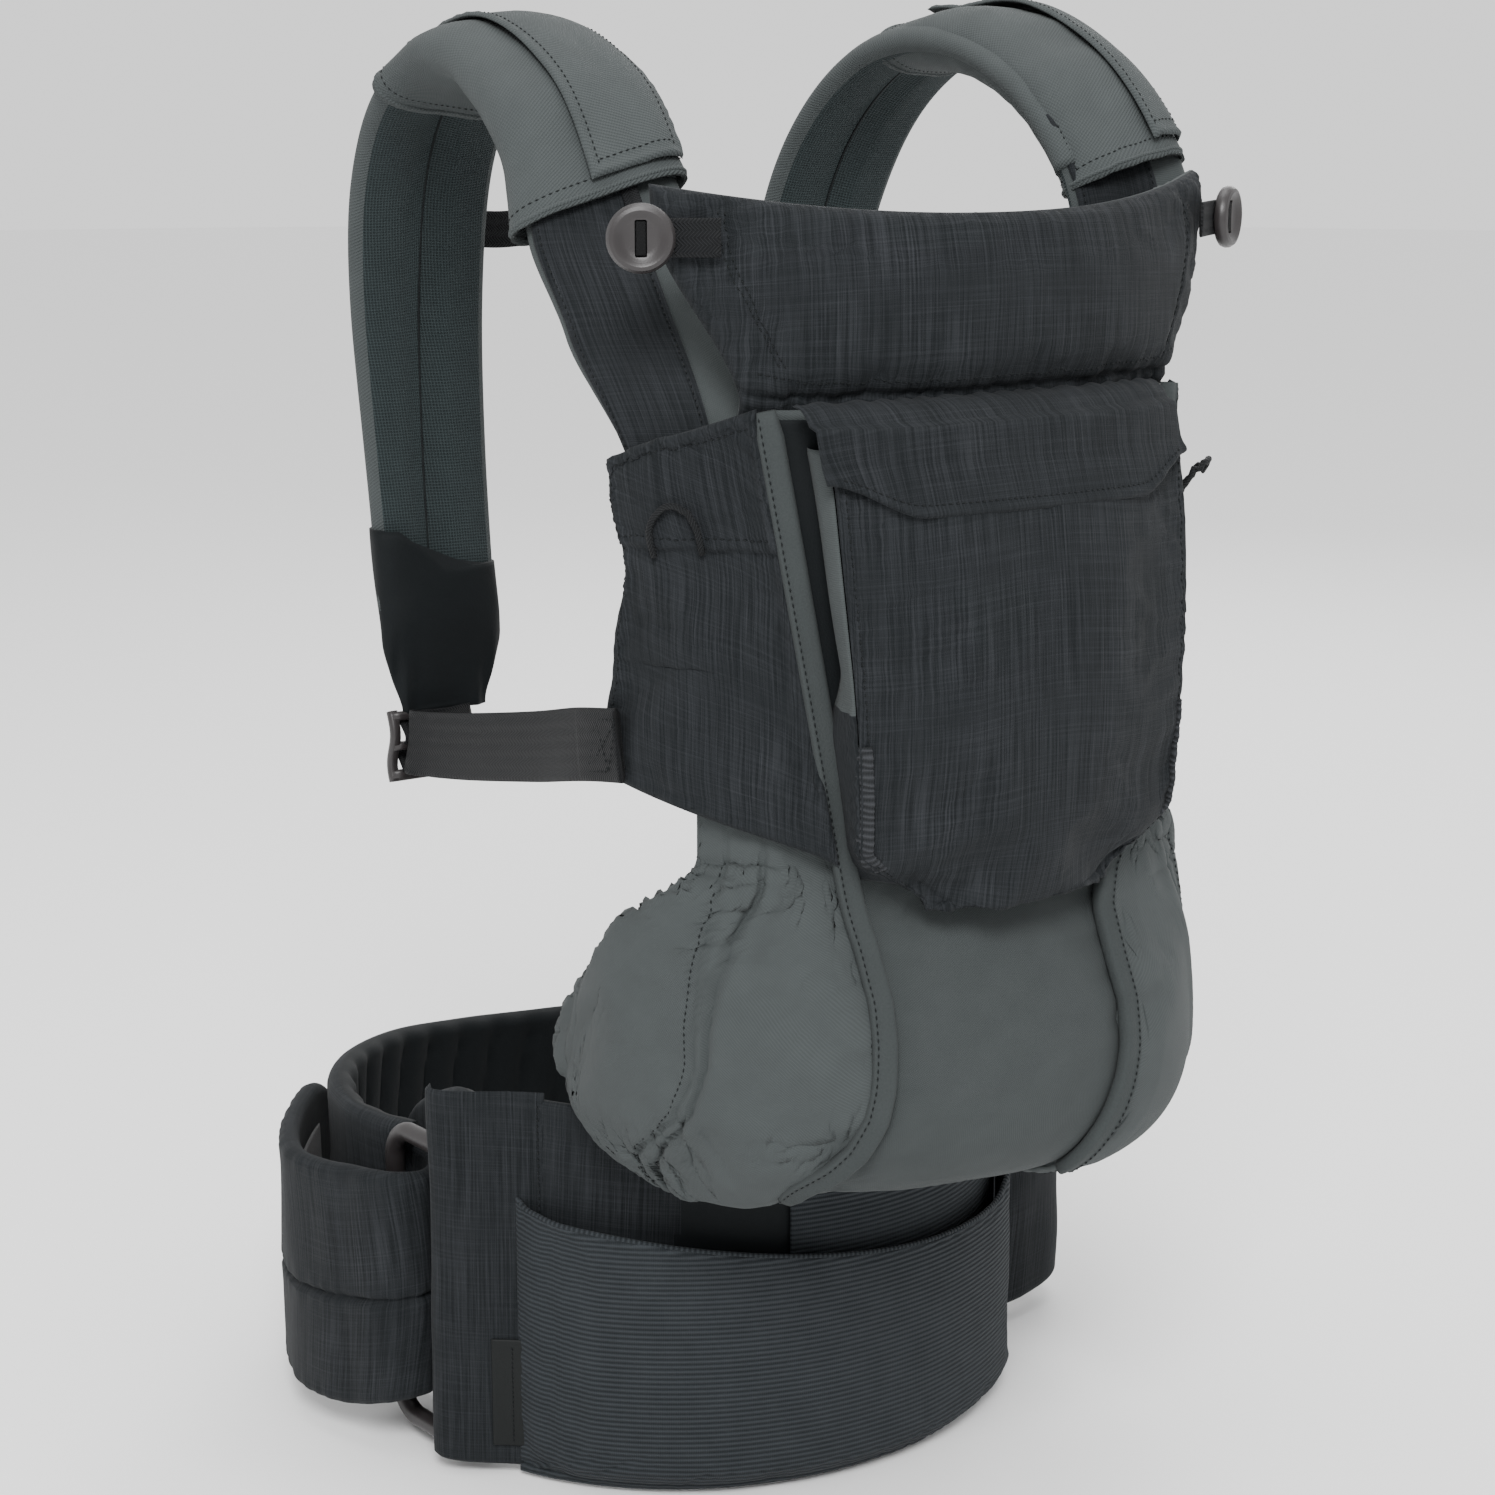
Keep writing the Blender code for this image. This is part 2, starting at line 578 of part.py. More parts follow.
def button(name, centre, axis, joint=None):
    """Domed disc with a slot for its webbing."""
    built = bmesh.new()
    side = Vector((0, 0, 1)).cross(axis).normalized()
    upward = axis.cross(side).normalized()
    profile = ((0.0, 0.0022), (0.55, 0.0022), (0.80, 0.0036), (0.96, 0.0030), (1.0, 0.0012),
               (0.96, -0.0018), (0.60, -0.0026), (0.0, -0.0026))
    rings = []
    steps = 20
    for share, height in profile:
        if share == 0.0:
            rings.append([built.verts.new(centre + axis * height)])
            continue
        ring = []
        for k in range(steps):
            angle = 2 * math.pi * k / steps
            offset = side * math.cos(angle) + upward * math.sin(angle)
            ring.append(built.verts.new(centre + offset * BUTTON_RADIUS * share + axis * height))
        rings.append(ring)
    for low, high in zip(rings, rings[1:]):
        for k in range(steps):
            j = (k + 1) % steps
            if len(low) == 1:
                built.faces.new((low[0], high[k], high[j]))
            elif len(high) == 1:
                built.faces.new((low[k], high[0], low[j]))
            else:
                built.faces.new((low[k], high[k], high[j], low[j]))
    bmesh.ops.recalc_face_normals(built, faces=built.faces)
    mesh = bpy.data.meshes.new(name)
    built.to_mesh(mesh)
    built.free()
    return place(name, mesh, PLASTIC, joint)


# ---------------------------------------------------------------- shoulder straps
STRAP_ROUTES = {
    -1: [(-0.136, -0.212, 0.424), (-0.140, -0.182, 0.476), (-0.137, -0.150, 0.526),
         (-0.134, -0.112, 0.572), (-0.132, -0.066, 0.594), (-0.130, -0.018, 0.580),
         (-0.126, 0.020, 0.540), (-0.122, 0.040, 0.474), (-0.122, 0.040, 0.395),
         (-0.124, 0.030, 0.317)],
    1: [(0.138, -0.206, 0.430), (0.134, -0.214, 0.486), (0.134, -0.212, 0.534),
        (0.134, -0.172, 0.578), (0.133, -0.110, 0.602), (0.130, -0.045, 0.596),
        (0.126, 0.008, 0.554), (0.122, 0.036, 0.486), (0.122, 0.040, 0.395),
        (0.124, 0.030, 0.317)],
}
STRAP_TURN = {-1: (0.80, -0.40, 0.45), 1: (0.98, -0.03, 0.20)}
STRAP_STATIONS = 36


def make_strap(name, side):
    """Front band, padded arch, sleeve, strap end, ladder lock and adjuster webbing."""
    whole = smooth_path(STRAP_ROUTES[side], STRAP_STATIONS)
    turned = Vector(STRAP_TURN[side])

    def width_way(i):
        return turned.lerp(Vector((1, 0, 0)), ease(i / STRAP_STATIONS / 0.45)).normalized()

    def layer(piece, first, last, out, thickness, width, spec):
        places = []
        for i in range(first, last + 1):
            ahead = whole[min(i + 1, STRAP_STATIONS)] - whole[max(i - 1, 0)]
            places.append(whole[i] + width_way(i).cross(ahead).normalized() * out)
        band(piece + name, places, lambda t: width_way(mix(first, last, t)), thickness, width, spec)

    layer("strap_front_", 0, 8, 0.0, 0.0070, 0.050, DARK_HEATHER)
    layer("strap_foam_", 9, 36, 0.0, PAD, STRAP_WIDTH - 0.006, FOAM)
    layer("strap_cover_", 9, 36, 0.0075, FABRIC, STRAP_WIDTH, GREY_KNIT)
    layer("strap_mesh_", 9, 36, -0.0080, 0.0030, STRAP_WIDTH - 0.002, SPACER_MESH)
    layer("strap_sleeve_", 9, 20, 0.0105, 0.0022, STRAP_WIDTH + 0.004, GREY_KNIT)
    layer("sleeve_flap_", 12, 20, 0.0135, 0.0020, STRAP_WIDTH - 0.016, GREY_KNIT)

    x = side * LOCK_X
    end_path = smooth_path([(side * 0.1245, 0.0290, 0.3130), (side * 0.1265, 0.0270, 0.2950),
                            (x, 0.0255, 0.2680)], 6)
    band("strap_end_" + name, end_path, lambda t: (1, 0, 0), 0.0080,
         lambda t: mix(0.070, 0.040, ease(t)), BLACK_LINING)
    make_lock(name, side)

    web_path = smooth_path([(side * 0.1300, 0.0080, 0.2470), (side * 0.1350, -0.0400, 0.2550),
                            (side * 0.1460, -0.1200, 0.2740), (side * 0.1575, -0.1780, 0.2890),
                            (side * 0.1590, -0.2130, 0.2960)], 14)
    band("adjuster_web_" + name, web_path, lambda t: (0, -0.26, 1.0), WEBBING, 0.0340, WEB)


def make_lock(name, side):
    """Ladder lock: a curved plate with two slots, tilting on the bar that the strap end holds."""
    axis = Vector((side * LOCK_X, LOCK_AXIS_Y, LOCK_AXIS_Z))
    low = (axis.x - 0.024, axis.y - 0.0022, axis.z - 0.0340)
    high = (axis.x + 0.024, axis.y + 0.0022, axis.z + 0.0030)
    plate = box("ladder_lock_" + name, low, high, PLASTIC, axis, bevel=0.0012)
    for number, centre in enumerate(LOCK_BARS):
        cutter = box("slot_%d_%s" % (number, name), (axis.x - 0.0185, axis.y - 0.01, axis.z + centre - 0.0032),
                     (axis.x + 0.0185, axis.y + 0.01, axis.z + centre + 0.0032), PLASTIC)
        cut(plate, cutter)


def make_cross_strap():
    """Cross-back strap: sliders on both shoulder straps, webbing and a side-release buckle."""
    centre = Vector((0.0, CROSS_Y, CROSS_Z))
    box("cross_buckle_socket", centre + Vector((-0.026, -0.005, -0.0125)),
        centre + Vector((0.004, 0.005, 0.0125)), PLASTIC, centre, bevel=0.0015)
    socket = bpy.data.objects["cross_buckle_socket"]
    mouth = box("socket_mouth", centre + Vector((-0.020, -0.0030, -0.0095)),
                centre + Vector((0.010, 0.0030, 0.0095)), PLASTIC)
    cut(socket, mouth)
    box("cross_buckle_plug", centre + Vector((-0.0185, -0.0024, -0.0080)),
        centre + Vector((0.022, 0.0024, 0.0080)), PLASTIC, centre, bevel=0.0008)
    box("cross_web_left", centre + Vector((-0.118, -0.001, -0.0095)),
        centre + Vector((-0.0265, 0.001, 0.0095)), WEB, centre)
    box("cross_web_right", centre + Vector((0.0225, -0.001, -0.0095)),
        centre + Vector((0.118, 0.001, 0.0095)), WEB, centre)
    for name, side in (("left", -1), ("right", 1)):
        middle = centre + Vector((side * 0.122, 0.0, 0.0))
        slider = box("cross_slider_" + name, middle + Vector((-0.012, -0.0045, -0.0130)),
                     middle + Vector((0.012, 0.0045, 0.0130)), PLASTIC, middle, bevel=0.0015)
        slot = box("slider_slot_" + name, middle + Vector((-0.030, -0.0018, -0.0105)),
                   middle + Vector((0.030, 0.0018, 0.0105)), PLASTIC)
        cut(slider, slot)


def main():
    for obj in list(bpy.data.objects):
        bpy.data.objects.remove(obj, do_unlink=True)
    make_belt()
    make_body()
    make_pocket()
    make_headrest()
    for name, side in (("left", -1), ("right", 1)):
        make_strap(name, side)
    make_cross_strap()
    bpy.context.view_layer.update()


main()
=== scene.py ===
"""Looks of the soft baby carrier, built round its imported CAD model: padded cloth, seams, stitches,
webbing and moulded plastic.  Metres; +X viewer's right, +Y toward the wearer's back, +Z up.
"""
import json
import math

import bpy
import numpy as np
from mathutils import Matrix, Vector, noise


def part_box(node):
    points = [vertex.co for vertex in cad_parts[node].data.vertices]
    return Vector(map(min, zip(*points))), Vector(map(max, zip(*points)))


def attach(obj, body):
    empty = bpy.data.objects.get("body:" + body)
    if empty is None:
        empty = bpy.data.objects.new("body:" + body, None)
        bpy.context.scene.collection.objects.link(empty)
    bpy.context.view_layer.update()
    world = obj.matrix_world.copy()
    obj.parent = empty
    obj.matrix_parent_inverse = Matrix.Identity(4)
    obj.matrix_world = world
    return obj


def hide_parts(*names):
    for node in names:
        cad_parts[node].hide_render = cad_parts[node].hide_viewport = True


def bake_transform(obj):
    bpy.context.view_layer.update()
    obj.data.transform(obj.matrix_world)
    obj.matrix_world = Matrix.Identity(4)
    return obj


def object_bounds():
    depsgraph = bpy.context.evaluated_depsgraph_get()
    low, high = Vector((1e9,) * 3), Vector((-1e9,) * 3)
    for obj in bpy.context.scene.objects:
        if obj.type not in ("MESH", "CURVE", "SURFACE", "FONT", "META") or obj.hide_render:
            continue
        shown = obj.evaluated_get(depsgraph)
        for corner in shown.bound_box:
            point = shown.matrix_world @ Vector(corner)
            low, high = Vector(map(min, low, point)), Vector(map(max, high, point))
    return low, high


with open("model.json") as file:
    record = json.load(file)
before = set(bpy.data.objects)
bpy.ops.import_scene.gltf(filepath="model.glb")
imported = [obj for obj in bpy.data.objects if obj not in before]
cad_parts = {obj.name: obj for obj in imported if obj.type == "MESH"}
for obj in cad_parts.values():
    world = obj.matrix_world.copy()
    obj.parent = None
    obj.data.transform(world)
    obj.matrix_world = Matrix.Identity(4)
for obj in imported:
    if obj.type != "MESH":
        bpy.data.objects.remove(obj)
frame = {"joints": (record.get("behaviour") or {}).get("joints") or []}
cad_low, cad_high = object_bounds()
SIDES = (("left", -1), ("right", 1))
HINGES = {joint["name"]: Vector(joint.get("pos_m") or (0, 0, 0)) for joint in frame["joints"]}


def low(node):
    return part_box(node)[0]


def high(node):
    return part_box(node)[1]


# ---------------------------------------------------------------- materials
class Shade:
    """Short way to write one Principled material's nodes; UV lengths are metres on the cloth."""

    def __init__(self, name, roughness, sheen=0.0, glare=0.15):
        self.made = bpy.data.materials.new(name)
        self.made.use_nodes = True
        self.tree = self.made.node_tree
        self.shader = self.tree.nodes["Principled BSDF"]
        for slot, value in (("Roughness", roughness), ("Specular IOR Level", glare),
                            ("Sheen Weight", sheen), ("Sheen Roughness", 0.5)):
            self.shader.inputs[slot].default_value = value
        split = self.add("ShaderNodeSeparateXYZ", self.add("ShaderNodeUVMap").outputs[0])
        self.u, self.v = split.outputs[0], split.outputs[1]

    def add(self, kind, *values, **settings):
        """New node: positional values fill its inputs in order, as numbers or as links."""
        node = self.tree.nodes.new(kind)
        for key, value in settings.items():
            setattr(node, key, value)
        for slot, value in zip(node.inputs, values):
            if isinstance(value, bpy.types.NodeSocket):
                self.tree.links.new(value, slot)
            elif value is not None:
                slot.default_value = value
        return node

    def math(self, operation, *values):
        return self.add("ShaderNodeMath", *values, operation=operation).outputs[0]

    def total(self, *shares):
        """Sum of (value, weight) pairs."""
        whole, *others = [self.math("MULTIPLY", value, weight) for value, weight in shares]
        for other in others:
            whole = self.math("ADD", whole, other)
        return whole

    def wave(self, length, pitch):
        """0 to 1 ripple of that pitch along a length."""
        turned = self.math("SINE", self.math("MULTIPLY", length, 2 * math.pi / pitch))
        return self.math("MULTIPLY_ADD", turned, 0.5, 0.5)

    def grain(self, per_u, per_v, detail=3.0, rough=0.6):
        """Noise with its own density along each cloth direction."""
        place = self.add("ShaderNodeCombineXYZ", self.math("MULTIPLY", self.u, per_u),
                         self.math("MULTIPLY", self.v, per_v))
        texture = self.add("ShaderNodeTexNoise", place.outputs[0])
        texture.inputs["Scale"].default_value = 1.0
        texture.inputs["Detail"].default_value = detail
        texture.inputs["Roughness"].default_value = rough
        return texture.outputs["Fac"]

    def spread(self, value, start, end):
        """Stretch a 0 to 1 value between two levels, and clamp it."""
        return self.add("ShaderNodeMapRange", value, start, end, 0.0, 1.0).outputs[0]

    def paint(self, share, dark, light):
        mixer = self.add("ShaderNodeMix", data_type="RGBA")
        self.tree.links.new(share, mixer.inputs[0])
        mixer.inputs[6].default_value = (*dark, 1.0)
        mixer.inputs[7].default_value = (*light, 1.0)
        self.tree.links.new(mixer.outputs[2], self.shader.inputs["Base Color"])
        self.made.diffuse_color = (*light, 1.0)

    def bump(self, height, depth, strength=1.0):
        relief = self.add("ShaderNodeBump")
        relief.inputs["Strength"].default_value = strength
        relief.inputs["Distance"].default_value = depth
        self.tree.links.new(height, relief.inputs["Height"])
        self.tree.links.new(relief.outputs[0], self.shader.inputs["Normal"])


def tint(colour, gain):
    return tuple(channel * gain for channel in colour)


def knit_material(name, colour, pitch, depth):
    """Fine diagonal knit with a soft mottled tone."""
    s = Shade(name, 0.88, 0.03)
    rib = s.wave(s.total((s.u, 0.5), (s.v, 0.866)), pitch)
    loops = s.wave(s.total((s.u, 0.866), (s.v, -0.5)), pitch * 0.9)
    weave = s.total((rib, 0.7), (loops, 0.3))
    tone = s.total((weave, 0.45), (s.grain(45, 45), 0.55))
    s.paint(s.spread(tone, 0.15, 0.85), tint(colour, 0.80), tint(colour, 1.17))
    s.bump(weave, depth)
    return s.made


def heather_material(name, dark, light):
    """Slubbed weave: uneven light threads down the cloth, fainter ones across it."""
    s = Shade(name, 0.84, 0.02)
    down = s.spread(s.grain(1050, 16, 4.0, 0.65), 0.40, 0.72)
    across = s.spread(s.grain(14, 900, 4.0, 0.65), 0.46, 0.78)
    patches = s.spread(s.grain(38, 22, 2.0), 0.30, 0.70)
    threads = s.total((down, 0.62), (across, 0.30))
    tone = s.math("MULTIPLY", threads, s.math("MULTIPLY_ADD", patches, 0.55, 0.60))
    s.paint(s.spread(tone, 0.0, 0.85), dark, light)
    grid = s.math("ADD", s.wave(s.u, 0.0009), s.wave(s.v, 0.0010))
    s.bump(s.math("MULTIPLY_ADD", threads, 0.8, s.math("MULTIPLY", grid, 0.3)), 0.00025, 0.8)
    return s.made


def rib_material(name, dark, light, pitch, depth):
    """Ribbed stretch knit; its ribs run across the cloth."""
    s = Shade(name, 0.90, 0.02)
    rib = s.wave(s.v, pitch)
    stitch = s.wave(s.u, pitch * 0.42)
    tone = s.total((rib, 0.55), (stitch, 0.12), (s.grain(60, 60), 0.33))
    s.paint(s.spread(tone, 0.10, 0.90), dark, light)
    s.bump(s.math("MULTIPLY_ADD", stitch, 0.15, rib), depth)
    return s.made


def mesh_material(name, dark, light, pitch):
    """Spacer mesh: staggered round holes in a soft knit."""
    s = Shade(name, 0.92, 0.03)
    rows, columns = (s.math("SINE", s.math("MULTIPLY", way, math.pi / pitch)) for way in (s.v, s.u))
    holes = s.spread(s.math("ABSOLUTE", s.math("MULTIPLY", rows, columns)), 0.15, 0.75)
    solid = s.math("SUBTRACT", 1.0, holes)
    s.paint(s.total((solid, 0.7), (s.grain(70, 70), 0.3)), dark, light)
    s.bump(solid, 0.0004)
    return s.made


def web_material(name, dark, light):
    """Woven webbing: herringbone ribs along the strap."""
    s = Shade(name, 0.66, 0.02, 0.14)
    fold = s.math("PINGPONG", s.u, 0.0032)
    rib = s.wave(s.math("ADD", s.v, fold), 0.0017)
    edge = s.wave(s.u, 0.0032)
    tone = s.total((rib, 0.55), (s.grain(300, 90), 0.45))
    s.paint(s.spread(tone, 0.15, 0.85), dark, light)
    s.bump(s.math("MULTIPLY_ADD", edge, 0.25, rib), 0.0004)
    return s.made


def plain_material(name, dark, light, roughness, sheen, depth, per_metre=900):
    """Close-woven or felted finish made of fine grain alone."""
    s = Shade(name, roughness, sheen, 0.12)
    fine = s.grain(per_metre, per_metre, 2.0)
    s.paint(s.total((fine, 0.6), (s.grain(40, 40), 0.4)), dark, light)
    s.bump(fine, depth)
    return s.made


def plastic_material(name, dark, light):
    """Moulded acetal: soft gloss, a fine spark-eroded grain and faint handling marks."""
    s = Shade(name, 0.42, 0.0, 0.45)
    place = s.add("ShaderNodeTexCoord").outputs["Object"]
    fine = s.add("ShaderNodeTexNoise", place)
    fine.inputs["Scale"].default_value = 1400.0
    broad = s.add("ShaderNodeTexNoise", place)
    broad.inputs["Scale"].default_value = 60.0
    broad.inputs["Detail"].default_value = 5.0
    s.paint(broad.outputs["Fac"], dark, light)
    gloss = s.math("MULTIPLY_ADD", broad.outputs["Fac"], 0.22, 0.30)
    s.tree.links.new(gloss, s.shader.inputs["Roughness"])
    s.bump(fine.outputs["Fac"], 0.00012, 0.5)
    return s.made


GREY = (0.0428, 0.0488, 0.0492)
SLEEVE = knit_material("sleeve_knit", tint(GREY, 1.08), 0.0015, 0.00035)
# Grey knit darkened to 0.84 as painted shade, for the seat centre.
SHADED_KNIT = knit_material("seat_knit_painted_shade", tint(GREY, 0.84), 0.0009, 0.00012)
# Binding tape darker than the grey knit: partly the tape's own tone, partly painted shade.
TAPE = plain_material("binding_tape", tint(GREY, 0.55), tint(GREY, 0.98), 0.86, 0.02, 0.0003)
KNIT = knit_material("grey_knit", GREY, 0.0009, 0.00012)
HEATHER = heather_material("dark_heather", (0.0046, 0.0060, 0.0070), (0.0270, 0.0292, 0.0330))
LINING = plain_material("black_lining", (0.0036, 0.0047, 0.0054), (0.0070, 0.0086, 0.0095),
                        0.72, 0.02, 0.0002)
RIBBED = rib_material("stretch_knit", (0.0078, 0.0097, 0.0112), (0.031, 0.0355, 0.0398), 0.0026, 0.0006)
CUFF = rib_material("elastic_cuff", (0.008, 0.009, 0.010), (0.036, 0.038, 0.042), 0.0030, 0.0008)
MESH = mesh_material("spacer_mesh", (0.0100, 0.0140, 0.0148), (0.030, 0.040, 0.0415), 0.0016)
WEB = web_material("webbing", (0.0028, 0.0032, 0.0036), (0.0105, 0.0112, 0.0124))
PLASTIC = plastic_material("acetal", (0.013, 0.0112, 0.0115), (0.022, 0.019, 0.0195))
ELASTIC = web_material("elastic", (0.004, 0.0045, 0.005), (0.012, 0.013, 0.014))
HOOK = plain_material("hook_tape", (0.003, 0.003, 0.0035), (0.022, 0.022, 0.024), 0.9, 0.2, 0.0008, 1500)
LABEL = plain_material("label", (0.006, 0.007, 0.007), (0.013, 0.014, 0.014), 0.5, 0.0, 0.00015, 1800)
THREAD = plain_material("sewing_thread", (0.004, 0.005, 0.0055), (0.010, 0.012, 0.0125), 0.6, 0.02, 0.0001)


# ---------------------------------------------------------------- cloth tools
def ease(value):
    """Smooth step from 0 to 1, for a number or an array."""
    value = np.clip(value, 0.0, 1.0)
    return value * value * (3 - 2 * value)


def mix(a, b, t):
    return a + (b - a) * t


def smooth_path(points, count):
    """Catmull-Rom curve through given points, sampled evenly in parameter."""
    places = [Vector(p) for p in points]
    places = [places[0] * 2 - places[1]] + places + [places[-1] * 2 - places[-2]]
    spans = len(places) - 3
    sampled = []
    for k in range(count + 1):
        s = min(k / count * spans, spans - 1e-9)
        i = int(s)
        t = s - i
        a, b, c, d = places[i:i + 4]
        sampled.append(0.5 * (2 * b + (c - a) * t + (2 * a - 5 * b + 4 * c - d) * t * t
                              + (3 * b - a - 3 * c + d) * t ** 3))
    return sampled


def on_route(route, share):
    """Point at that share, 0 to 1, of a sampled route."""
    last = len(route) - 1
    k = min(int(share * last), last - 1)
    return route[k].lerp(route[k + 1], share * last - k)


def as_array(rings):
    return np.array([[tuple(p) for p in ring] for ring in rings], float)


def crowded(count, share):
    """Parameters 0 to 1, packed more closely toward both ends as share nears 1."""
    t = np.linspace(0.0, 1.0, count + 1)
    return t - share * np.sin(2 * math.pi * t) / (2 * math.pi)


def rumple(points, size, height, seed, stretch=(1, 1, 1)):
    """Soft uneven relief over an array of points."""
    flat = points.reshape(-1, 3) * np.array(stretch) / size + seed * 7.31
    values = [noise.noise(Vector(p)) for p in flat]
    return height * np.array(values).reshape(points.shape[:-1])


def pucker(distance, along, pitch, reach, height, seed):
    """Small folds that a line of stitching draws into cloth on both sides."""
    swing = np.sin(2 * math.pi * along / pitch + 1.7 * np.sin(along / pitch * 1.3 + seed))
    return height * swing * np.exp(-(distance / reach) ** 2)


def seam_share(route, along):
    """Where a curved seam lies across a cloth: route holds (along, across) pairs to pass through."""
    curve = smooth_path([(a, b, 0.0) for a, b in route], 80)
    return np.interp(along, [p.x for p in curve], [p.y for p in curve])


def ridge(distance, width, height):
    """Soft bead along a line, such as a rolled hem."""
    return height * np.exp(-(distance / width) ** 2)


def groove(distance, width, depth):
    """Valley along a seam."""
    return ridge(distance, width, -depth)


SETTLING_FRAMES = 16
SETTLING = {"quality": 5, "mass": 0.12, "tension_stiffness": 12, "compression_stiffness": 12,
            "shear_stiffness": 4, "bending_stiffness": 0.08, "air_damping": 3.0,
            "vertex_group_mass": "held", "use_pressure": True}


class Cloth:
    """A cloth surface held as a grid of points, with its lengths and outward normals."""

    def __init__(self, point, nu, nv, away, crowd=(0.75, 0.75)):
        self.us = crowded(nu, crowd[0])
        self.vs = crowded(nv, crowd[1])
        self.away = np.array(away, float)
        self.grid = np.array([[tuple(point(u, v)) for v in self.vs] for u in self.us], float)
        self.measure()

    def measure(self):
        """Lengths from each border and unit normals, from the grid as it now lies."""
        step_u = np.linalg.norm(np.diff(self.grid, axis=0), axis=2)
        step_v = np.linalg.norm(np.diff(self.grid, axis=1), axis=2)
        self.from_left = np.vstack([np.zeros(step_u.shape[1]), np.cumsum(step_u, axis=0)])
        self.from_low = np.hstack([np.zeros((step_v.shape[0], 1)), np.cumsum(step_v, axis=1)])
        self.to_right = self.from_left[-1] - self.from_left
        self.to_top = self.from_low[:, -1:] - self.from_low
        self.across = self.from_left - self.from_left[-1] / 2
        self.edge = np.minimum(np.minimum(self.from_left, self.to_right),
                               np.minimum(self.from_low, self.to_top))
        normal = np.cross(np.gradient(self.grid, axis=0), np.gradient(self.grid, axis=1))
        normal /= np.linalg.norm(normal, axis=2, keepdims=True) + 1e-12
        outward = (normal * (self.grid - self.away)).sum(axis=2).mean()
        self.flipped = outward < 0
        self.normal = -normal if self.flipped else normal
        self.front = self.grid

    def push(self, amount):
        """Move the whole surface along its normals."""
        self.grid = self.grid + self.normal * np.asarray(amount)[..., None]
        self.measure()

    def settle(self, pressure, growth, cap, margin=0.0015):
        """Let Blender's cloth solver swell and rumple the surface inside its held border."""
        nu, nv = self.grid.shape[:2]
        mesh = bpy.data.meshes.new("settling")
        mesh.from_pydata(self.grid.reshape(-1, 3).tolist(), [], quads(nu, nv, self.flipped))
        obj = bpy.data.objects.new("settling", mesh)
        bpy.context.scene.collection.objects.link(obj)
        pins = obj.vertex_groups.new(name="held")
        pins.add(np.flatnonzero(self.edge.ravel() < margin).tolist(), 1.0, "REPLACE")
        cloth = obj.modifiers.new("cloth", "CLOTH")
        for key, value in SETTLING.items():
            setattr(cloth.settings, key, value)
        cloth.settings.uniform_pressure_force = pressure
        cloth.settings.shrink_min = -growth
        cloth.settings.effector_weights.gravity = 0.0
        cloth.collision_settings.use_collision = False
        scene = bpy.context.scene
        for number in range(1, SETTLING_FRAMES + 1):
            scene.frame_set(number)
        shaped = obj.evaluated_get(bpy.context.evaluated_depsgraph_get()).data
        settled = np.zeros(nu * nv * 3)
        shaped.vertices.foreach_get("co", settled)
        scene.frame_set(1)
        bpy.data.objects.remove(obj)
        bpy.data.meshes.remove(mesh)
        moved = settled.reshape(nu, nv, 3) - self.grid
        length = np.linalg.norm(moved, axis=2, keepdims=True) + 1e-12
        self.grid = self.grid + moved * np.minimum(1.0, cap / length)
        self.measure()

    def at(self, u, v, lift=0.0):
        """Point on the finished front at parameters u, v."""
        i = np.interp(u, self.us, np.arange(len(self.us)))
        j = np.interp(v, self.vs, np.arange(len(self.vs)))
        i0 = min(int(i), len(self.us) - 2)
        j0 = min(int(j), len(self.vs) - 2)
        a, b = i - i0, j - j0

        def blend(values):
            return ((1 - a) * (1 - b) * values[i0, j0] + a * (1 - b) * values[i0 + 1, j0]
                    + (1 - a) * b * values[i0, j0 + 1] + a * b * values[i0 + 1, j0 + 1])
        normal = Vector(blend(self.normal)).normalized()
        return Vector(blend(self.front)) + normal * lift, normal

    def line(self, start, end, count=60):
        """Points and normals along a straight run in u, v."""
        return [self.at(mix(start[0], end[0], k / count), mix(start[1], end[1], k / count))
                for k in range(count + 1)]

    def solid(self, name, front, back, radius, materials, pick=None):
        """Closed piece: front and back faces off the surface, drawn together round its border.

        materials are the front's and the back's; pick(centre) may choose another for a face."""
        pinch = np.clip(self.edge / radius, 0.0, 1.0)
        pinch = np.maximum(np.sqrt(1 - (1 - pinch) ** 2), 0.12)
        ahead = self.grid + self.normal * (np.asarray(front) * pinch)[..., None]
        behind = self.grid - self.normal * (np.asarray(back) * pinch)[..., None]
        self.front = ahead
        nu, nv = self.grid.shape[:2]
        points = np.concatenate([ahead.reshape(-1, 3), behind.reshape(-1, 3)])
        faces = quads(nu, nv, self.flipped)
        kinds = [0] * len(faces)
        faces += [tuple(k + nu * nv for k in face) for face in quads(nu, nv, not self.flipped)]
        kinds += [1] * (len(faces) - len(kinds))
        ring = border(nu, nv)
        for a, b in zip(ring, ring[1:] + ring[:1]):
            rim = (a, a + nu * nv, b + nu * nv, b)
            faces.append(rim[::-1] if self.flipped else rim)
            kinds.append(1)
        lengths = np.stack([self.across, self.from_low], axis=2).reshape(-1, 2)
        uv = np.concatenate([lengths, lengths])
        return build(name, points, faces, uv, materials, kinds, pick)


def quads(nu, nv, flipped=False):
    """Faces of a grid with nu by nv points."""
    made = []
    for i in range(nu - 1):
        for j in range(nv - 1):
            face = (i * nv + j, (i + 1) * nv + j, (i + 1) * nv + j + 1, i * nv + j + 1)
            made.append(face[::-1] if flipped else face)
    return made


def border(nu, nv):
    """Grid points round the rim, in order."""
    return ([i * nv for i in range(nu)] + [(nu - 1) * nv + j for j in range(1, nv)]
            + [i * nv + nv - 1 for i in range(nu - 2, -1, -1)] + list(range(nv - 2, 0, -1)))


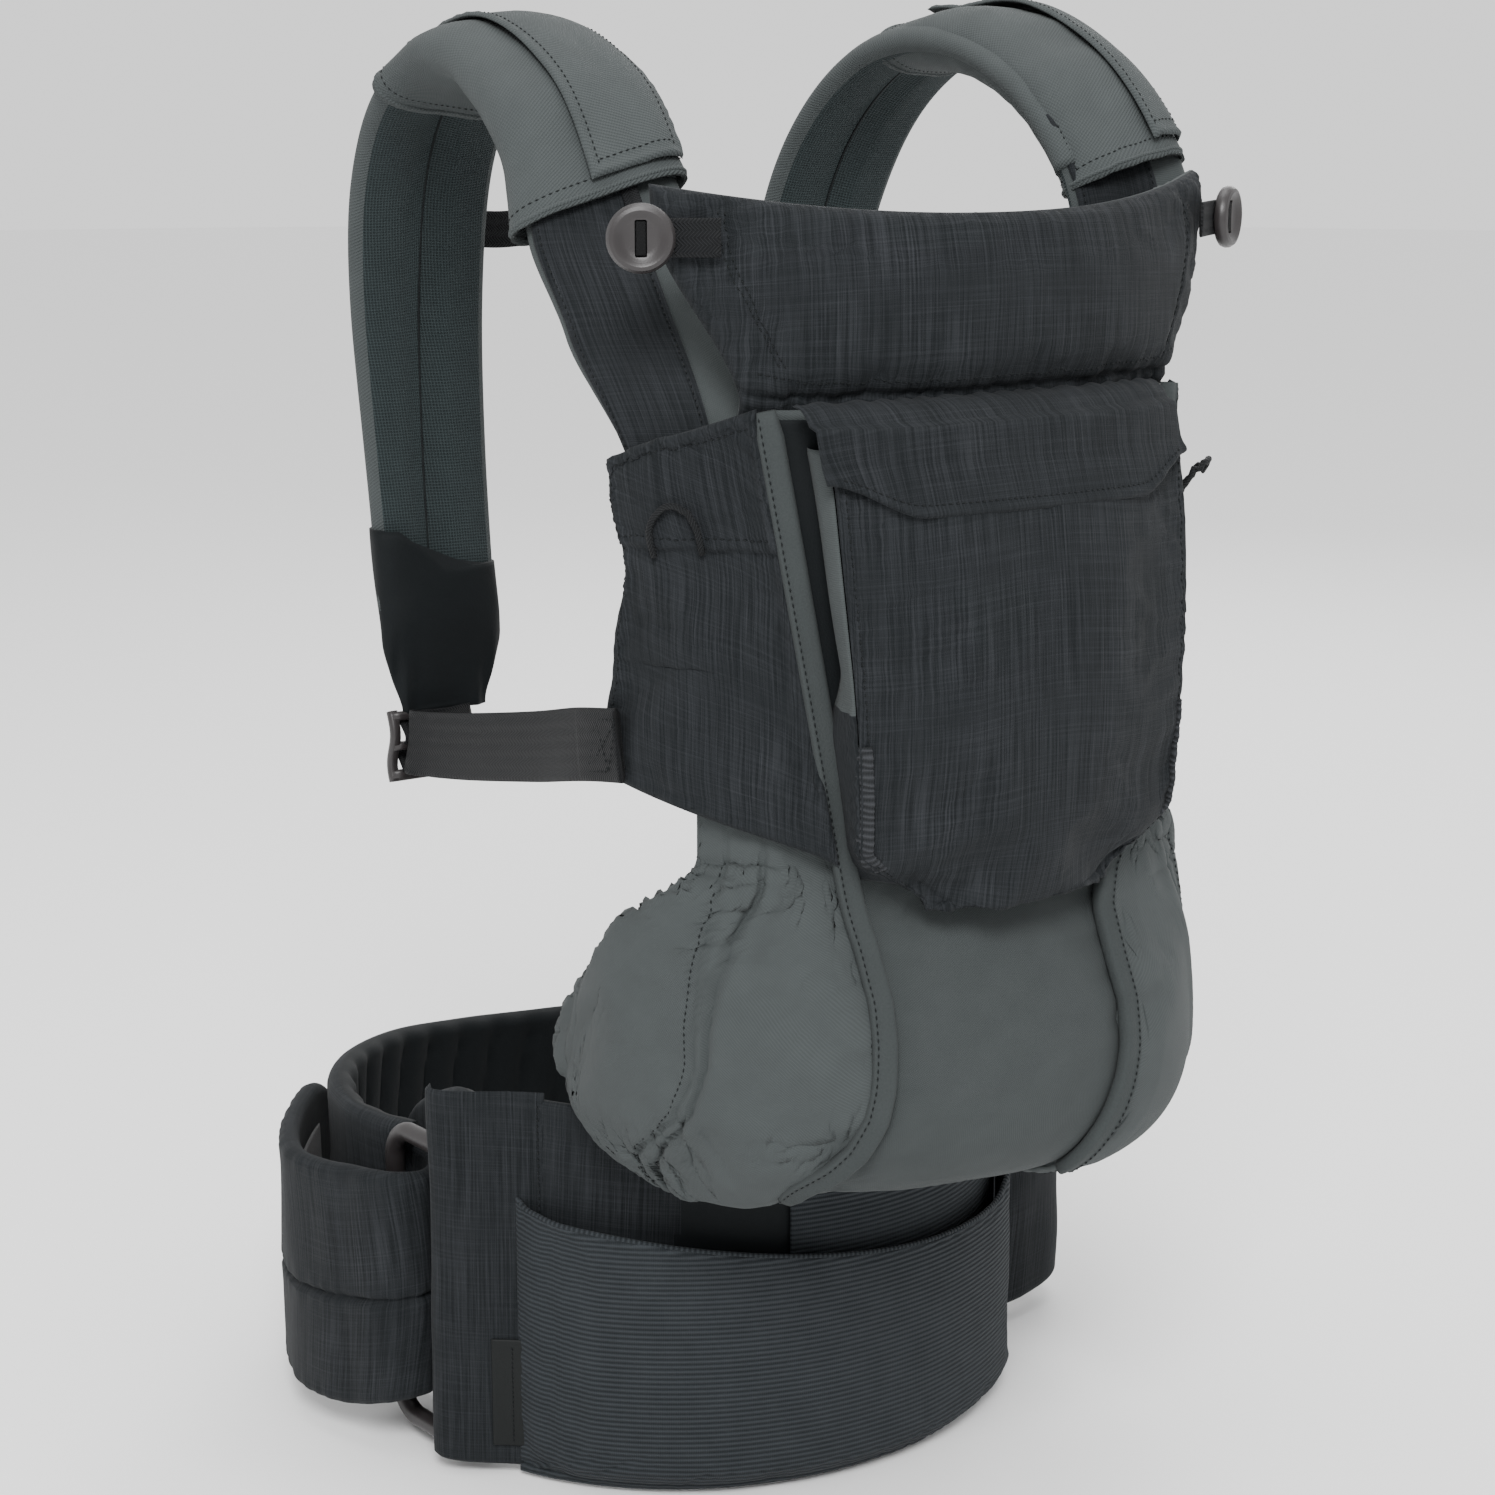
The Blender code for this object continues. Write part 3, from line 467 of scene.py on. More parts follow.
def build(name, points, faces, uv, materials, kinds=None, pick=None):
    """Mesh object from arrays, smooth shaded, with one UV per point."""
    mesh = bpy.data.meshes.new(name)
    mesh.from_pydata(np.asarray(points).tolist(), [], faces)
    for material in materials:
        mesh.materials.append(material)
    layer = mesh.uv_layers.new(name="UVMap")
    corners = np.zeros(len(mesh.loops), np.int32)
    mesh.loops.foreach_get("vertex_index", corners)
    layer.data.foreach_set("uv", np.asarray(uv, np.float32)[corners].ravel())
    if kinds:
        kinds = [min(kind, len(materials) - 1) for kind in kinds]
        if pick:
            centres = np.zeros(len(mesh.polygons) * 3)
            mesh.polygons.foreach_get("center", centres)
            kinds = [pick(Vector(c), k) for c, k in zip(centres.reshape(-1, 3), kinds)]
        mesh.polygons.foreach_set("material_index", kinds)
    mesh.shade_smooth()
    obj = bpy.data.objects.new(name, mesh)
    bpy.context.scene.collection.objects.link(obj)
    return obj


def sweep(name, rings, materials, kinds=None, closed=False):
    """Skin through rings of points; kinds gives each strip of the ring its material."""
    rings = as_array(rings)
    count, around = rings.shape[:2]
    faces, picked = [], []
    for i in range(count if closed else count - 1):
        j = (i + 1) % count
        for k in range(around):
            m = (k + 1) % around
            faces.append((i * around + k, i * around + m, j * around + m, j * around + k))
            picked.append(kinds[k] if kinds else 0)
    if not closed:
        faces.append(tuple(range(around))[::-1])
        faces.append(tuple((count - 1) * around + k for k in range(around)))
        picked += [0, 0]
    girth = np.linalg.norm(rings - np.roll(rings, 1, axis=1), axis=2)
    girth[:, 0] = 0
    turn = np.cumsum(girth, axis=1)
    run = np.linalg.norm(np.diff(rings.mean(axis=1), axis=0), axis=1)
    run = np.concatenate([[0], np.cumsum(run)])
    uv = np.stack([turn, np.repeat(run[:, None], around, axis=1)], axis=2).reshape(-1, 2)
    obj = build(name, rings.reshape(-1, 3), faces, uv, materials, picked)
    face_outward(obj)
    return obj


def face_outward(obj):
    """Flip a closed mesh whose faces point inward."""
    mesh = obj.data
    mesh.calc_loop_triangles()
    volume = 0.0
    for tri in mesh.loop_triangles:
        a, b, c = (mesh.vertices[k].co for k in tri.vertices)
        volume += a.dot(b.cross(c))
    if volume < 0:
        mesh.flip_normals()


def tube(name, points, radius, material, sides=10, closed=False):
    """Round tube along points."""
    count = len(points)
    rings = []
    side = None
    for i, point in enumerate(points):
        before = points[(i - 1) % count] if closed or i else point
        after = points[(i + 1) % count] if closed or i < count - 1 else point
        ahead = (after - before).normalized()
        if side is None:
            side = ahead.orthogonal()
        side = (side - ahead * side.dot(ahead)).normalized()
        up = ahead.cross(side)
        rings.append([point + (side * math.cos(t) + up * math.sin(t)) * radius
                      for t in (2 * math.pi * k / sides for k in range(sides))])
    return sweep(name, rings, [material], closed=closed)


def oval(half_w, half_t, power, count=28):
    """Rounded flat section as (sideways, outward) pairs; a higher power is squarer."""
    made = []
    for k in range(count):
        t = 2 * math.pi * k / count
        c, s = math.cos(t), math.sin(t)
        made.append((half_w * math.copysign(abs(c) ** (2 / power), c),
                     half_t * math.copysign(abs(s) ** (2 / 2.2), s)))
    return made


def ribbon(name, path, across, width, thickness, material, power=7.0, count=16):
    """Flat band along a path, its width near the direction across; thickness may vary along it."""
    rings = []
    last = len(path) - 1
    for i, point in enumerate(path):
        ahead = (path[min(i + 1, last)] - path[max(i - 1, 0)]).normalized()
        side = Vector(across).normalized()
        out = ahead.cross(side).normalized()
        side = out.cross(ahead)
        thick = thickness(i / last) if callable(thickness) else thickness
        rings.append([point + side * a + out * b for a, b in oval(0.5 * width, 0.5 * thick, power, count)])
    return sweep(name, rings, [material])


def block(name, low_corner, high_corner, bevel, material):
    """Moulded block with rounded edges."""
    size = [b - a for a, b in zip(low_corner, high_corner)]
    centre = [(a + b) / 2 for a, b in zip(low_corner, high_corner)]
    bpy.ops.mesh.primitive_cube_add(size=1.0, location=centre)
    obj = bpy.context.object
    obj.name = name
    for vertex in obj.data.vertices:
        vertex.co = [vertex.co[k] * size[k] for k in range(3)]
    obj.data.materials.append(material)
    edge = obj.modifiers.new("edge", "BEVEL")
    edge.width = bevel
    edge.segments = 3
    obj.data.shade_smooth()
    return obj


def fixed(obj):
    """Apply an object's modifiers and transform, keeping the object."""
    graph = bpy.context.evaluated_depsgraph_get()
    graph.update()
    mesh = bpy.data.meshes.new_from_object(obj.evaluated_get(graph))
    mesh.transform(obj.matrix_world)
    old = obj.data
    obj.modifiers.clear()
    obj.data = mesh
    obj.matrix_world = Matrix.Identity(4)
    bpy.data.meshes.remove(old)
    return obj


def joined(name, objects):
    """One object out of several meshes."""
    for obj in objects:
        fixed(obj)
    bpy.ops.object.select_all(action="DESELECT")
    for obj in objects:
        obj.select_set(True)
    bpy.context.view_layer.objects.active = objects[0]
    bpy.ops.object.join()
    objects[0].name = name
    objects[0].data.name = name
    return objects[0]


def drilled(obj, *cutters):
    """Cut holes with guide objects, which are then removed."""
    for cutter in cutters:
        hole = obj.modifiers.new("hole", "BOOLEAN")
        hole.object = cutter
        hole.solver = "EXACT"
    fixed(obj)
    for cutter in cutters:
        bpy.data.objects.remove(cutter)
    obj.data.shade_smooth()
    obj.data.set_sharp_from_angle(angle=math.radians(35))
    return obj


def belongs(obj, body, slot, *nodes, fill=None):
    """Attach the piece to the body it rides on and hide the CAD nodes it stands for; slot (its finish) and
    fill (its padding) are not used.
    """
    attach(obj, body)
    if nodes:
        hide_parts(*nodes)


def as_sheet(cloth):
    """Measure a sewn cloth panel's area on its surface; the result is not kept."""
    area = float(np.linalg.norm(np.cross(np.diff(cloth.grid, axis=0)[:, :-1],
                                         np.diff(cloth.grid, axis=1)[:-1]), axis=2).sum())


# ---------------------------------------------------------------- stitches
STITCH_LENGTH = 0.0024
STITCH_PITCH = 0.0034
STITCH_HALF_WIDTH = 0.00045
STITCH_LIFT = 0.0002
seams = {}


def sew(body, run, pitch=STITCH_PITCH):
    """Row of stitches along points and normals; all of one body's stitches become one piece."""
    places = [place for place, _ in run]
    normals = [normal for _, normal in run]
    lengths = [0.0]
    for a, b in zip(places, places[1:]):
        lengths.append(lengths[-1] + (b - a).length)
    total = lengths[-1]
    for k in range(int(total / pitch)):
        spot = (k + 0.5) * pitch
        i = min(max(np.searchsorted(lengths, spot) - 1, 0), len(places) - 2)
        t = (spot - lengths[i]) / max(lengths[i + 1] - lengths[i], 1e-9)
        ahead = (places[i + 1] - places[i]).normalized()
        place = places[i].lerp(places[i + 1], t) + normals[i] * STITCH_LIFT
        seams.setdefault(body, []).append((place, ahead, normals[i]))


def make_stitches():
    """Each body's stitches as one mesh of small raised threads."""
    for body, rows in seams.items():
        points, faces, uv = [], [], []
        for centre, ahead, normal in rows:
            side = normal.cross(ahead).normalized()
            first = len(points)
            for offset in (ahead * STITCH_LENGTH / 2, side * STITCH_HALF_WIDTH,
                           normal * STITCH_HALF_WIDTH, -side * STITCH_HALF_WIDTH,
                           -normal * STITCH_HALF_WIDTH, -ahead * STITCH_LENGTH / 2):
                points.append(tuple(centre + offset))
                uv.append((offset.dot(side), offset.dot(ahead)))
            for k in range(4):
                m = (k + 1) % 4
                faces.append((first, first + 1 + k, first + 1 + m))
                faces.append((first + 5, first + 1 + m, first + 1 + k))
        obj = build("stitching_" + body, points, faces, uv, [THREAD])
        belongs(obj, body, "webbing")


# ---------------------------------------------------------------- camera, light and floor
CAMERA_TARGET = Vector((-0.066, -0.180, 0.2745))
CAMERA_AZIMUTH = math.radians(-34)
CAMERA_RISE = math.radians(13)
CAMERA_DISTANCE = 1.40
CAMERA_LENS = 70.8
LIGHT_AIM = Vector((0.0, -0.1, 0.25))


def make_camera():
    back = Vector((math.sin(CAMERA_AZIMUTH) * math.cos(CAMERA_RISE),
                   -math.cos(CAMERA_AZIMUTH) * math.cos(CAMERA_RISE), math.sin(CAMERA_RISE)))
    camera = bpy.data.objects.new("camera", bpy.data.cameras.new("camera"))
    camera.data.sensor_width = 36.0
    camera.data.lens = CAMERA_LENS
    camera.location = CAMERA_TARGET + back * CAMERA_DISTANCE
    camera.rotation_euler = (-back).to_track_quat("-Z", "Y").to_euler()
    bpy.context.scene.collection.objects.link(camera)
    bpy.context.scene.camera = camera


def make_light(name, place, size, power):
    lamp = bpy.data.lights.new(name, "AREA")
    lamp.shape = "DISK"
    lamp.size = size
    lamp.energy = power
    obj = bpy.data.objects.new(name, lamp)
    obj.location = place
    obj.rotation_euler = (LIGHT_AIM - Vector(place)).to_track_quat("-Z", "Y").to_euler()
    bpy.context.scene.collection.objects.link(obj)


def make_studio():
    """Plain pale floor under soft light from all round, with a key from the upper left."""
    bpy.ops.mesh.primitive_circle_add(vertices=64, radius=12.0, fill_type="NGON",
                                      location=(0, 0, cad_low.z - 0.002))
    floor = bpy.context.object
    floor.name = "floor"
    pale = bpy.data.materials.new("floor")
    pale.use_nodes = True
    shader = pale.node_tree.nodes["Principled BSDF"]
    shader.inputs["Base Color"].default_value = (0.92, 0.92, 0.92, 1)
    shader.inputs["Roughness"].default_value = 0.9
    floor.data.materials.append(pale)
    world = bpy.data.worlds.new("studio")
    bpy.context.scene.world = world
    world.use_nodes = True
    sky = world.node_tree.nodes["Background"]
    sky.inputs["Color"].default_value = (1.0, 1.0, 1.0, 1.0)
    sky.inputs["Strength"].default_value = 1.25
    make_light("key", (-1.3, -1.9, 2.1), 1.1, 85)
    make_light("top", (0.3, 0.1, 2.4), 1.6, 24)
    make_light("rim", (1.8, 1.4, 1.5), 1.2, 16)


make_camera()
make_studio()

# ---------------------------------------------------------------- design surfaces of the frame
FABRIC = 0.0016
BELT_CENTRE = (-0.012, -0.060)
BELT_HALF_WIDTH = 0.156
BELT_DEPTH = BELT_CENTRE[1] - low("belt_front_panel").y - 0.0020
BELT_LOW_Z = low("belt_front_panel").z
BELT_HIGH_Z = high("belt_front_panel").z
BODY_HALF_WIDTH = 0.153
BODY_FRONT_Y = low("body_panel").y + FABRIC / 2
BODY_TURN_BACK = 0.077
BODY_TURN_POWER = 4.9
BODY_TOP_Z = high("body_panel").z
SEAT_TOP_Z = low("body_panel").z - 0.001
SEAT_HALF_WIDTH = 0.150
SEAT_DEPTH = 0.148
SEAT_CENTRE_Y = -0.185
SEAT_WIDEST_Z = 0.126
SEAT_LOW_Z = 0.081
SEAT_FOOT_HALF_WIDTH = 0.120
SEAT_FOOT_DEPTH = 0.055
SEAT_FOOT_CENTRE_Y = -0.207
WING_TOP_Z = 0.447
POCKET_HALF_WIDTH = 0.0985
POCKET_MIDDLE_X = -0.0010
POCKET_LOW_Z = low("pocket_front").z
POCKET_TOP_Z = high("pocket_front").z
POCKET_FACE_Y = -0.324
POCKET_MOUTH_Y = -0.305
HEADREST_HALF_WIDTH = 0.150
HEADREST_LOW_Z = low("headrest_cover").z
HEADREST_TOP_Z = 0.528
HEADREST_FRONT_Y = -0.290
HEADREST_SAG = 0.054


def belt_front(angle, out, z):
    """Point on the belt's front half; angle 0 faces -Y, out is distance off its middle line."""
    return Vector((BELT_CENTRE[0] + (BELT_HALF_WIDTH + out) * math.sin(angle),
                   BELT_CENTRE[1] - (BELT_DEPTH + out) * math.cos(angle), z))


def body_front(angle, out, z):
    """Upper body plan at height z; out is measured along the plan curve's normal."""
    x = BODY_HALF_WIDTH * math.sin(angle)
    share = abs(x) / 0.150
    slope = BODY_TURN_BACK * BODY_TURN_POWER / 0.150 * share ** (BODY_TURN_POWER - 1)
    normal = Vector((math.copysign(slope, x), -1, 0)).normalized()
    return Vector((x, BODY_FRONT_Y + BODY_TURN_BACK * share ** BODY_TURN_POWER, z)) + normal * out


def seat(angle, v, out):
    """Seat bucket: v 0 at the top seam, 1 at its lowest edge; it bulges between them."""
    top = body_front(angle, out, SEAT_TOP_Z - 0.003)
    wide = Vector(((SEAT_HALF_WIDTH + out) * math.sin(angle),
                   SEAT_CENTRE_Y - (SEAT_DEPTH + out) * math.cos(angle), SEAT_WIDEST_Z))
    foot = Vector((SEAT_FOOT_HALF_WIDTH * math.sin(angle),
                   SEAT_FOOT_CENTRE_Y - SEAT_FOOT_DEPTH * math.cos(angle), SEAT_LOW_Z - out))
    if v <= 0.5:
        first = top.lerp(wide, ease(v / 0.5))
        first.z = mix(top.z, SEAT_WIDEST_Z, v / 0.5)
        return first
    turn = (v - 0.5) / 0.5 * math.pi / 2
    point = foot.lerp(wide, max(math.cos(turn), 0.0) ** 0.8)
    point.z = mix(SEAT_WIDEST_Z, SEAT_LOW_Z - out, math.sin(turn))
    return point


# Degrees round the seat at which each binding runs, by height: both sweep left under the seat.
BINDING_HEIGHTS = (0.081, 0.098, 0.108, 0.117, 0.130, 0.146, 0.165, 0.183, 0.206, 0.224, 0.250)
BINDING_TURNS = {-1: (52.0, 45.8, 40.0, 36.6, 33.7, 32.0, 30.7, 30.0, 30.7, 32.0, 33.4),
                 1: (8.0, 9.0, 10.5, 12.5, 15.5, 18.5, 20.5, 20.5, 21.0, 24.5, 33.4)}


def binding_angle(z, side=-1):
    """Where the edge binding runs round the body at height z."""
    turn = float(np.interp(z, BINDING_HEIGHTS, BINDING_TURNS[side]))
    spread = {-1: 14.5, 1: 11.0}[side]
    return math.radians(turn + spread * min(max((z - 0.250) / 0.200, 0.0), 1.0))


def pocket_width(z):
    """Half width of the pocket face: tapered toward its bottom corners."""
    wide = mix(0.0905, POCKET_HALF_WIDTH, ease((z - 0.250) / 0.150))
    return mix(0.052, wide, ease((z - POCKET_LOW_Z) / 0.034))


def pocket_face(u, z, out):
    """Bulging pocket face; u runs -1 to 1 across it."""
    rise = min(max((z - POCKET_LOW_Z) / 0.215, 0.0), 1.0)
    belly = math.sin(math.pi * mix(0.22, 1.0, rise)) ** 0.7
    y = mix(POCKET_MOUTH_Y, POCKET_FACE_Y, belly) + 0.016 * abs(u) ** 2.6
    return Vector((POCKET_MIDDLE_X + pocket_width(z) * u, y - out, z))


INSIDE_BODY = (0.0, -0.10, 0.30)
INSIDE_SEAT = (0.0, -0.15, 0.17)
INSIDE_BELT = (-0.005, -0.02, 0.0)


# ---------------------------------------------------------------- seat and body panels
def make_body_panels():
    """Body panel with its airy inner face, and the smooth centre of the seat in grey knit darkened as
    painted shade.
    """
    def panel(u, v):
        z = mix(SEAT_TOP_Z - 0.012, BODY_TOP_Z, v)
        return body_front(mix(-binding_angle(z), binding_angle(z, 1), u), 0.0, z)
    cloth = Cloth(panel, 40, 36, INSIDE_BODY)
    cloth.push(rumple(cloth.grid, 0.05, 0.0012, 1))
    obj = cloth.solid("body_panel_cloth", 0.0008, 0.0008, 0.0015, [KNIT])
    belongs(obj, "carrier", "grey_knit", "body_panel")
    as_sheet(cloth)

    def inner(u, v):
        z = mix(SEAT_TOP_Z - 0.004, BODY_TOP_Z - 0.002, v)
        edge = binding_angle(z) + math.radians(1)
        return body_front(mix(-edge, edge, u), -0.0045, z)
    cloth = Cloth(inner, 44, 40, INSIDE_BODY)
    quilt = 0.0022 * np.abs(np.sin(math.pi * cloth.from_low / 0.034)) ** 0.5
    obj = cloth.solid("inner_mesh_pad", 0.0008, 0.0016 + quilt, 0.004, [MESH])
    belongs(obj, "carrier", "spacer_mesh", "body_inner_mesh", fill=0.5)

    def centre(u, v):
        drop = mix(-0.02, 0.985, v)
        z = seat(0.0, max(drop, 0.0), 0.0).z
        point = seat(mix(-binding_angle(z), binding_angle(z, 1), u), max(drop, 0.0), 0.0)
        point.z -= min(drop, 0.0) * 0.5
        return point
    cloth = Cloth(centre, 48, 64, INSIDE_SEAT)
    cloth.settle(1.5, 0.012, 0.004)
    cloth.push(rumple(cloth.grid, 0.07, 0.0010, 2))
    # The seat centre uses the grey knit darkened as painted shade.
    obj = cloth.solid("seat_centre_cloth", 0.0015, 0.0015, 0.002, [SHADED_KNIT])
    belongs(obj, "carrier", "grey_knit", "seat_centre_panel", fill=0.6)


def make_seat_floor():
    """Underside of the seat, from the bucket's low edge back to its seam on the belt."""
    def floor(u, v):
        seat_edge = seat(mix(math.radians(-84), math.radians(84), u), 0.97, 0.0)
        belt_seam = belt_front(mix(math.radians(-40), math.radians(48), u), 0.0035, BELT_HIGH_Z - 0.0040)
        point = seat_edge.lerp(belt_seam, v)
        point.z -= 0.0040 * math.sin(math.pi * v)
        return point
    cloth = Cloth(floor, 60, 20, INSIDE_BODY)
    cloth.push(rumple(cloth.grid, 0.04, 0.0010, 6))
    obj = cloth.solid("seat_floor_cloth", 0.0015, 0.0015, 0.0020, [KNIT])
    belongs(obj, "carrier", "grey_knit")


LOBE_SEAM = ((0.0, 0.80), (0.08, 0.765), (0.17, 0.605), (0.25, 0.475), (0.33, 0.41), (0.42, 0.395),
             (0.50, 0.42), (0.58, 0.465), (0.71, 0.60), (1.0, 0.92))
LOBE_RIDGE = ((0.0, 0.54), (0.08, 0.55), (0.15, 0.515), (0.23, 0.435), (0.32, 0.378), (0.40, 0.365),
              (0.48, 0.385), (0.57, 0.42), (0.70, 0.52), (1.0, 0.80))


def make_seat_pad(name, side):
    """One padded lobe of the seat, with its two sewn ridges and the stitched edge."""
    def pad(u, v):
        drop = mix(-0.05, 0.985, v)
        z = seat(0.0, max(drop, 0.0), 0.0).z
        near = binding_angle(z, side) - math.radians(1.0)
        far = mix(math.radians(61), math.radians(115), ease(drop / 0.36))
        far = mix(far, math.radians(88), ease((drop - 0.50) / 0.42))
        point = seat(side * mix(near, far, u), max(drop, 0.0), 0.0)
        point.z -= min(drop, 0.0) * 0.55
        return point
    cloth = Cloth(pad, 140, 90, INSIDE_SEAT, (0.35, 0.55))
    share, rise = np.meshgrid(cloth.us, cloth.vs, indexing="ij")
    width = cloth.from_left[-1][None, :]
    stitched = seam_share(LOBE_SEAM, rise)
    ridged = seam_share(LOBE_RIDGE, rise)
    from_stitched = (share - stitched) * width
    from_ridge = (share - ridged) * width
    cloth.settle(3.2, 0.02, 0.009, 0.002)
    crown = 0.0055 * np.clip(cloth.edge / 0.030, 0, 1) ** 0.6
    sewn = groove(from_stitched, 0.0016, 0.0026) + groove(from_ridge, 0.0015, 0.0040)
    sewn += ridge(from_ridge + 0.0070, 0.0060, 0.0020)
    folds = pucker(from_stitched, cloth.from_low, 0.0075, 0.006, 0.00030, side)
    folds += pucker(cloth.edge, cloth.from_low, 0.009, 0.007, 0.00035, side + 2)
    front = 0.0036 + crown + sewn + folds + rumple(cloth.grid, 0.06, 0.0012, 3 + side)
    front = front * mix(0.25, 1.0, ease((cloth.from_low - 0.018) / 0.030))
    obj = cloth.solid("seat_lobe_" + name, front, 0.0042, 0.0055, [KNIT, KNIT])
    belongs(obj, "carrier", "grey_knit", "seat_pad_" + name, fill=0.8)
    sew("carrier", [cloth.at(float(seam_share(LOBE_SEAM, v)) + 0.016, v)
                    for v in np.linspace(0.06, 0.97, 70)])
    sew("carrier", [cloth.at(0.035, v) for v in np.linspace(0.03, 0.97, 70)])


BINDING_STEPS = 80
BINDING_START = 0.78       # how far down the seat it begins
BINDING_ON_SEAT = 0.55     # share of its run that lies on the seat


def make_binding(name, side):
    """Padded edge binding that stands proud between the pocket and the side."""
    places = []
    for k in range(BINDING_STEPS + 1):
        t = k / BINDING_STEPS
        if t < BINDING_ON_SEAT:
            down = mix(BINDING_START, 0.0, t / BINDING_ON_SEAT)
            angle = side * binding_angle(seat(0.0, down, 0.0).z, side)
            here = seat(angle, down, 0.0060)
            out = here - seat(angle, down, 0.0)
        else:
            z = mix(SEAT_TOP_Z - 0.003, BODY_TOP_Z, (t - BINDING_ON_SEAT) / (1 - BINDING_ON_SEAT))
            angle = side * binding_angle(z, side)
            here = body_front(angle, 0.0050, z)
            out = here - body_front(angle, 0.0, z)
        places.append((here, out.normalized()))
    rings, rails = [], []
    for i, (here, out) in enumerate(places):
        ahead = (places[min(i + 1, BINDING_STEPS)][0] - places[max(i - 1, 0)][0]).normalized()
        across = ahead.cross(out).normalized() * side
        out = across.cross(ahead).normalized() * side
        rails.append((here, across, out))
        ends = min(1.0, 0.70 + 0.30 * min(i, BINDING_STEPS - i) / 2)
        puff = 1 + 0.05 * noise.noise(here * 60)
        rings.append([here + across * a * ends + out * (b * puff + 0.0008 * (a > 0.0035))
                      for a, b in oval(0.0059, 0.0034, 5.0, 28)])
    obj = sweep("binding_" + name + "_sleeve", rings, [TAPE])
    belongs(obj, "carrier", "grey_knit", "binding_" + name)
    sew("carrier", [(here + across * 0.0034 + out * 0.0036, out) for here, across, out in rails])


HEM_Z = 0.3842             # hem of the side wing's upper layer
LOOP_MIDDLE = 0.54         # where the elastic loop stands across the wing
LOOP_REACH = 0.125


def make_side_panel(name, side):
    """Side wing: its upper layer ends in a hem, with an elastic loop under it."""
    def wing(u, v):
        z = mix(mix(0.243, 0.279, u ** 0.7), WING_TOP_Z - 0.025 * u, v)
        near = binding_angle(z, side) + math.radians(1.6)
        proud = mix(0.0045, 0.0095, ease((0.305 - z) / 0.040))
        point = body_front(side * mix(near, math.radians(79), u), proud, z)
        scoop = 0.011 * math.exp(-((z - 0.372) / 0.022) ** 2)
        point.y += (0.005 + 0.010 * ease((0.330 - z) / 0.040) - scoop) * u ** 3
        return point
    cloth = Cloth(wing, 60, 150, INSIDE_BODY, (0.55, 0.2))
    cloth.settle(1.2, 0.018, 0.0035)
    from_hem = cloth.grid[..., 2] - HEM_Z
    step = 0.0016 * ease(from_hem / 0.0014) + groove(from_hem + 0.0012, 0.0014, 0.0012)
    folds = rumple(cloth.grid, 0.045, 0.0016, 5 + side, (1.0, 1.0, 0.45))
    folds += pucker(cloth.edge, cloth.from_low, 0.011, 0.008, 0.0003, side)
    rolled = ridge(cloth.edge - 0.0030, 0.0022, 0.0009)
    obj = cloth.solid("side_wing_" + name, 0.0009 + step + folds + rolled, 0.0009 - folds, 0.0016,
                      [HEATHER])
    belongs(obj, "carrier", "dark_heather", "side_panel_" + name)
    as_sheet(cloth)
    hem_v = [float(np.interp(HEM_Z, row, cloth.vs)) for row in cloth.grid[..., 2]]
    hem_at = [float(np.interp(u, cloth.us, hem_v)) for u in np.linspace(0.0, 1.0, 51)]
    sew("carrier", [cloth.at(k / 50, hem_at[k] + 0.030) for k in range(2, 49)])
    sew("carrier", cloth.line((0.955, 0.06), (0.955, 0.96), 60))
    sew("carrier", cloth.line((0.05, 0.965), (0.95, 0.965), 50))
    stand = {-1: 0.0010, 1: 0.0150}[side]      # the right loop stands away from the cloth
    legs = []
    for turn in np.linspace(0.0, math.pi, 25):
        height = hem_at[27] - 0.012 + LOOP_REACH * math.sin(turn) ** 0.6
        legs.append(cloth.at(LOOP_MIDDLE - LOOP_REACH * math.cos(turn), height,
                             0.0022 + stand * math.sin(turn))[0])
    obj = tube("elastic_loop_cord_" + name, legs, 0.0015, ELASTIC, 10)
    belongs(obj, "carrier", "elastic", "elastic_loop_" + name)


# ---------------------------------------------------------------- stow pocket
POCKET_TURN_UNDER = 0.10   # share of the pocket's cloth turned under at its bottom
POCKET_ROOT_Y = -0.2925


def make_pocket():
    """Pocket face with its turned-under bottom, side gussets, elastic cuffs and the flap."""
    def face(u, v):
        across = mix(-1, 1, u)
        if v < POCKET_TURN_UNDER:
            t = v / POCKET_TURN_UNDER
            tip = pocket_face(across, POCKET_LOW_Z, 0.0)
            root = Vector((tip.x * 0.94, POCKET_ROOT_Y, tip.z))
            point = root.lerp(tip, math.sin(t * math.pi / 2))
            point.z = POCKET_LOW_Z + 0.010 * (1 - t)
            return point
        rise = (v - POCKET_TURN_UNDER) / (1 - POCKET_TURN_UNDER)
        return pocket_face(across, mix(POCKET_LOW_Z, POCKET_TOP_Z, rise), 0.0)
    cloth = Cloth(face, 90, 100, (0.0, -0.26, 0.32), (0.6, 0.2))
    cloth.settle(1.6, 0.016, 0.0040)
    folds = rumple(cloth.grid, 0.060, 0.0018, 7, (1.4, 1.0, 0.5))
    folds += rumple(cloth.grid, 0.020, 0.0004, 8)
    folds += pucker(cloth.from_left, cloth.from_low, 0.012, 0.010, 0.0004, 1)
    folds += pucker(cloth.to_right, cloth.from_low, 0.012, 0.010, 0.0004, 2)
    corner = np.abs(np.abs(cloth.across) - 0.055 - (cloth.from_low - 0.03) * 0.9)
    folds += groove(corner, 0.004, 0.0016) * ease((0.055 - cloth.from_low) / 0.02)
    obj = cloth.solid("stow_pocket_face", 0.0009 + folds, 0.0009 - folds, 0.0016, [HEATHER])
    belongs(obj, "carrier", "dark_heather", "pocket_front")
    as_sheet(cloth)
    for u in (0.020, 0.980):
        sew("carrier", cloth.line((u, 0.16), (u, 0.97), 60))
    for name, side in SIDES:
        make_gusset(name, side, cloth)
    make_flap()


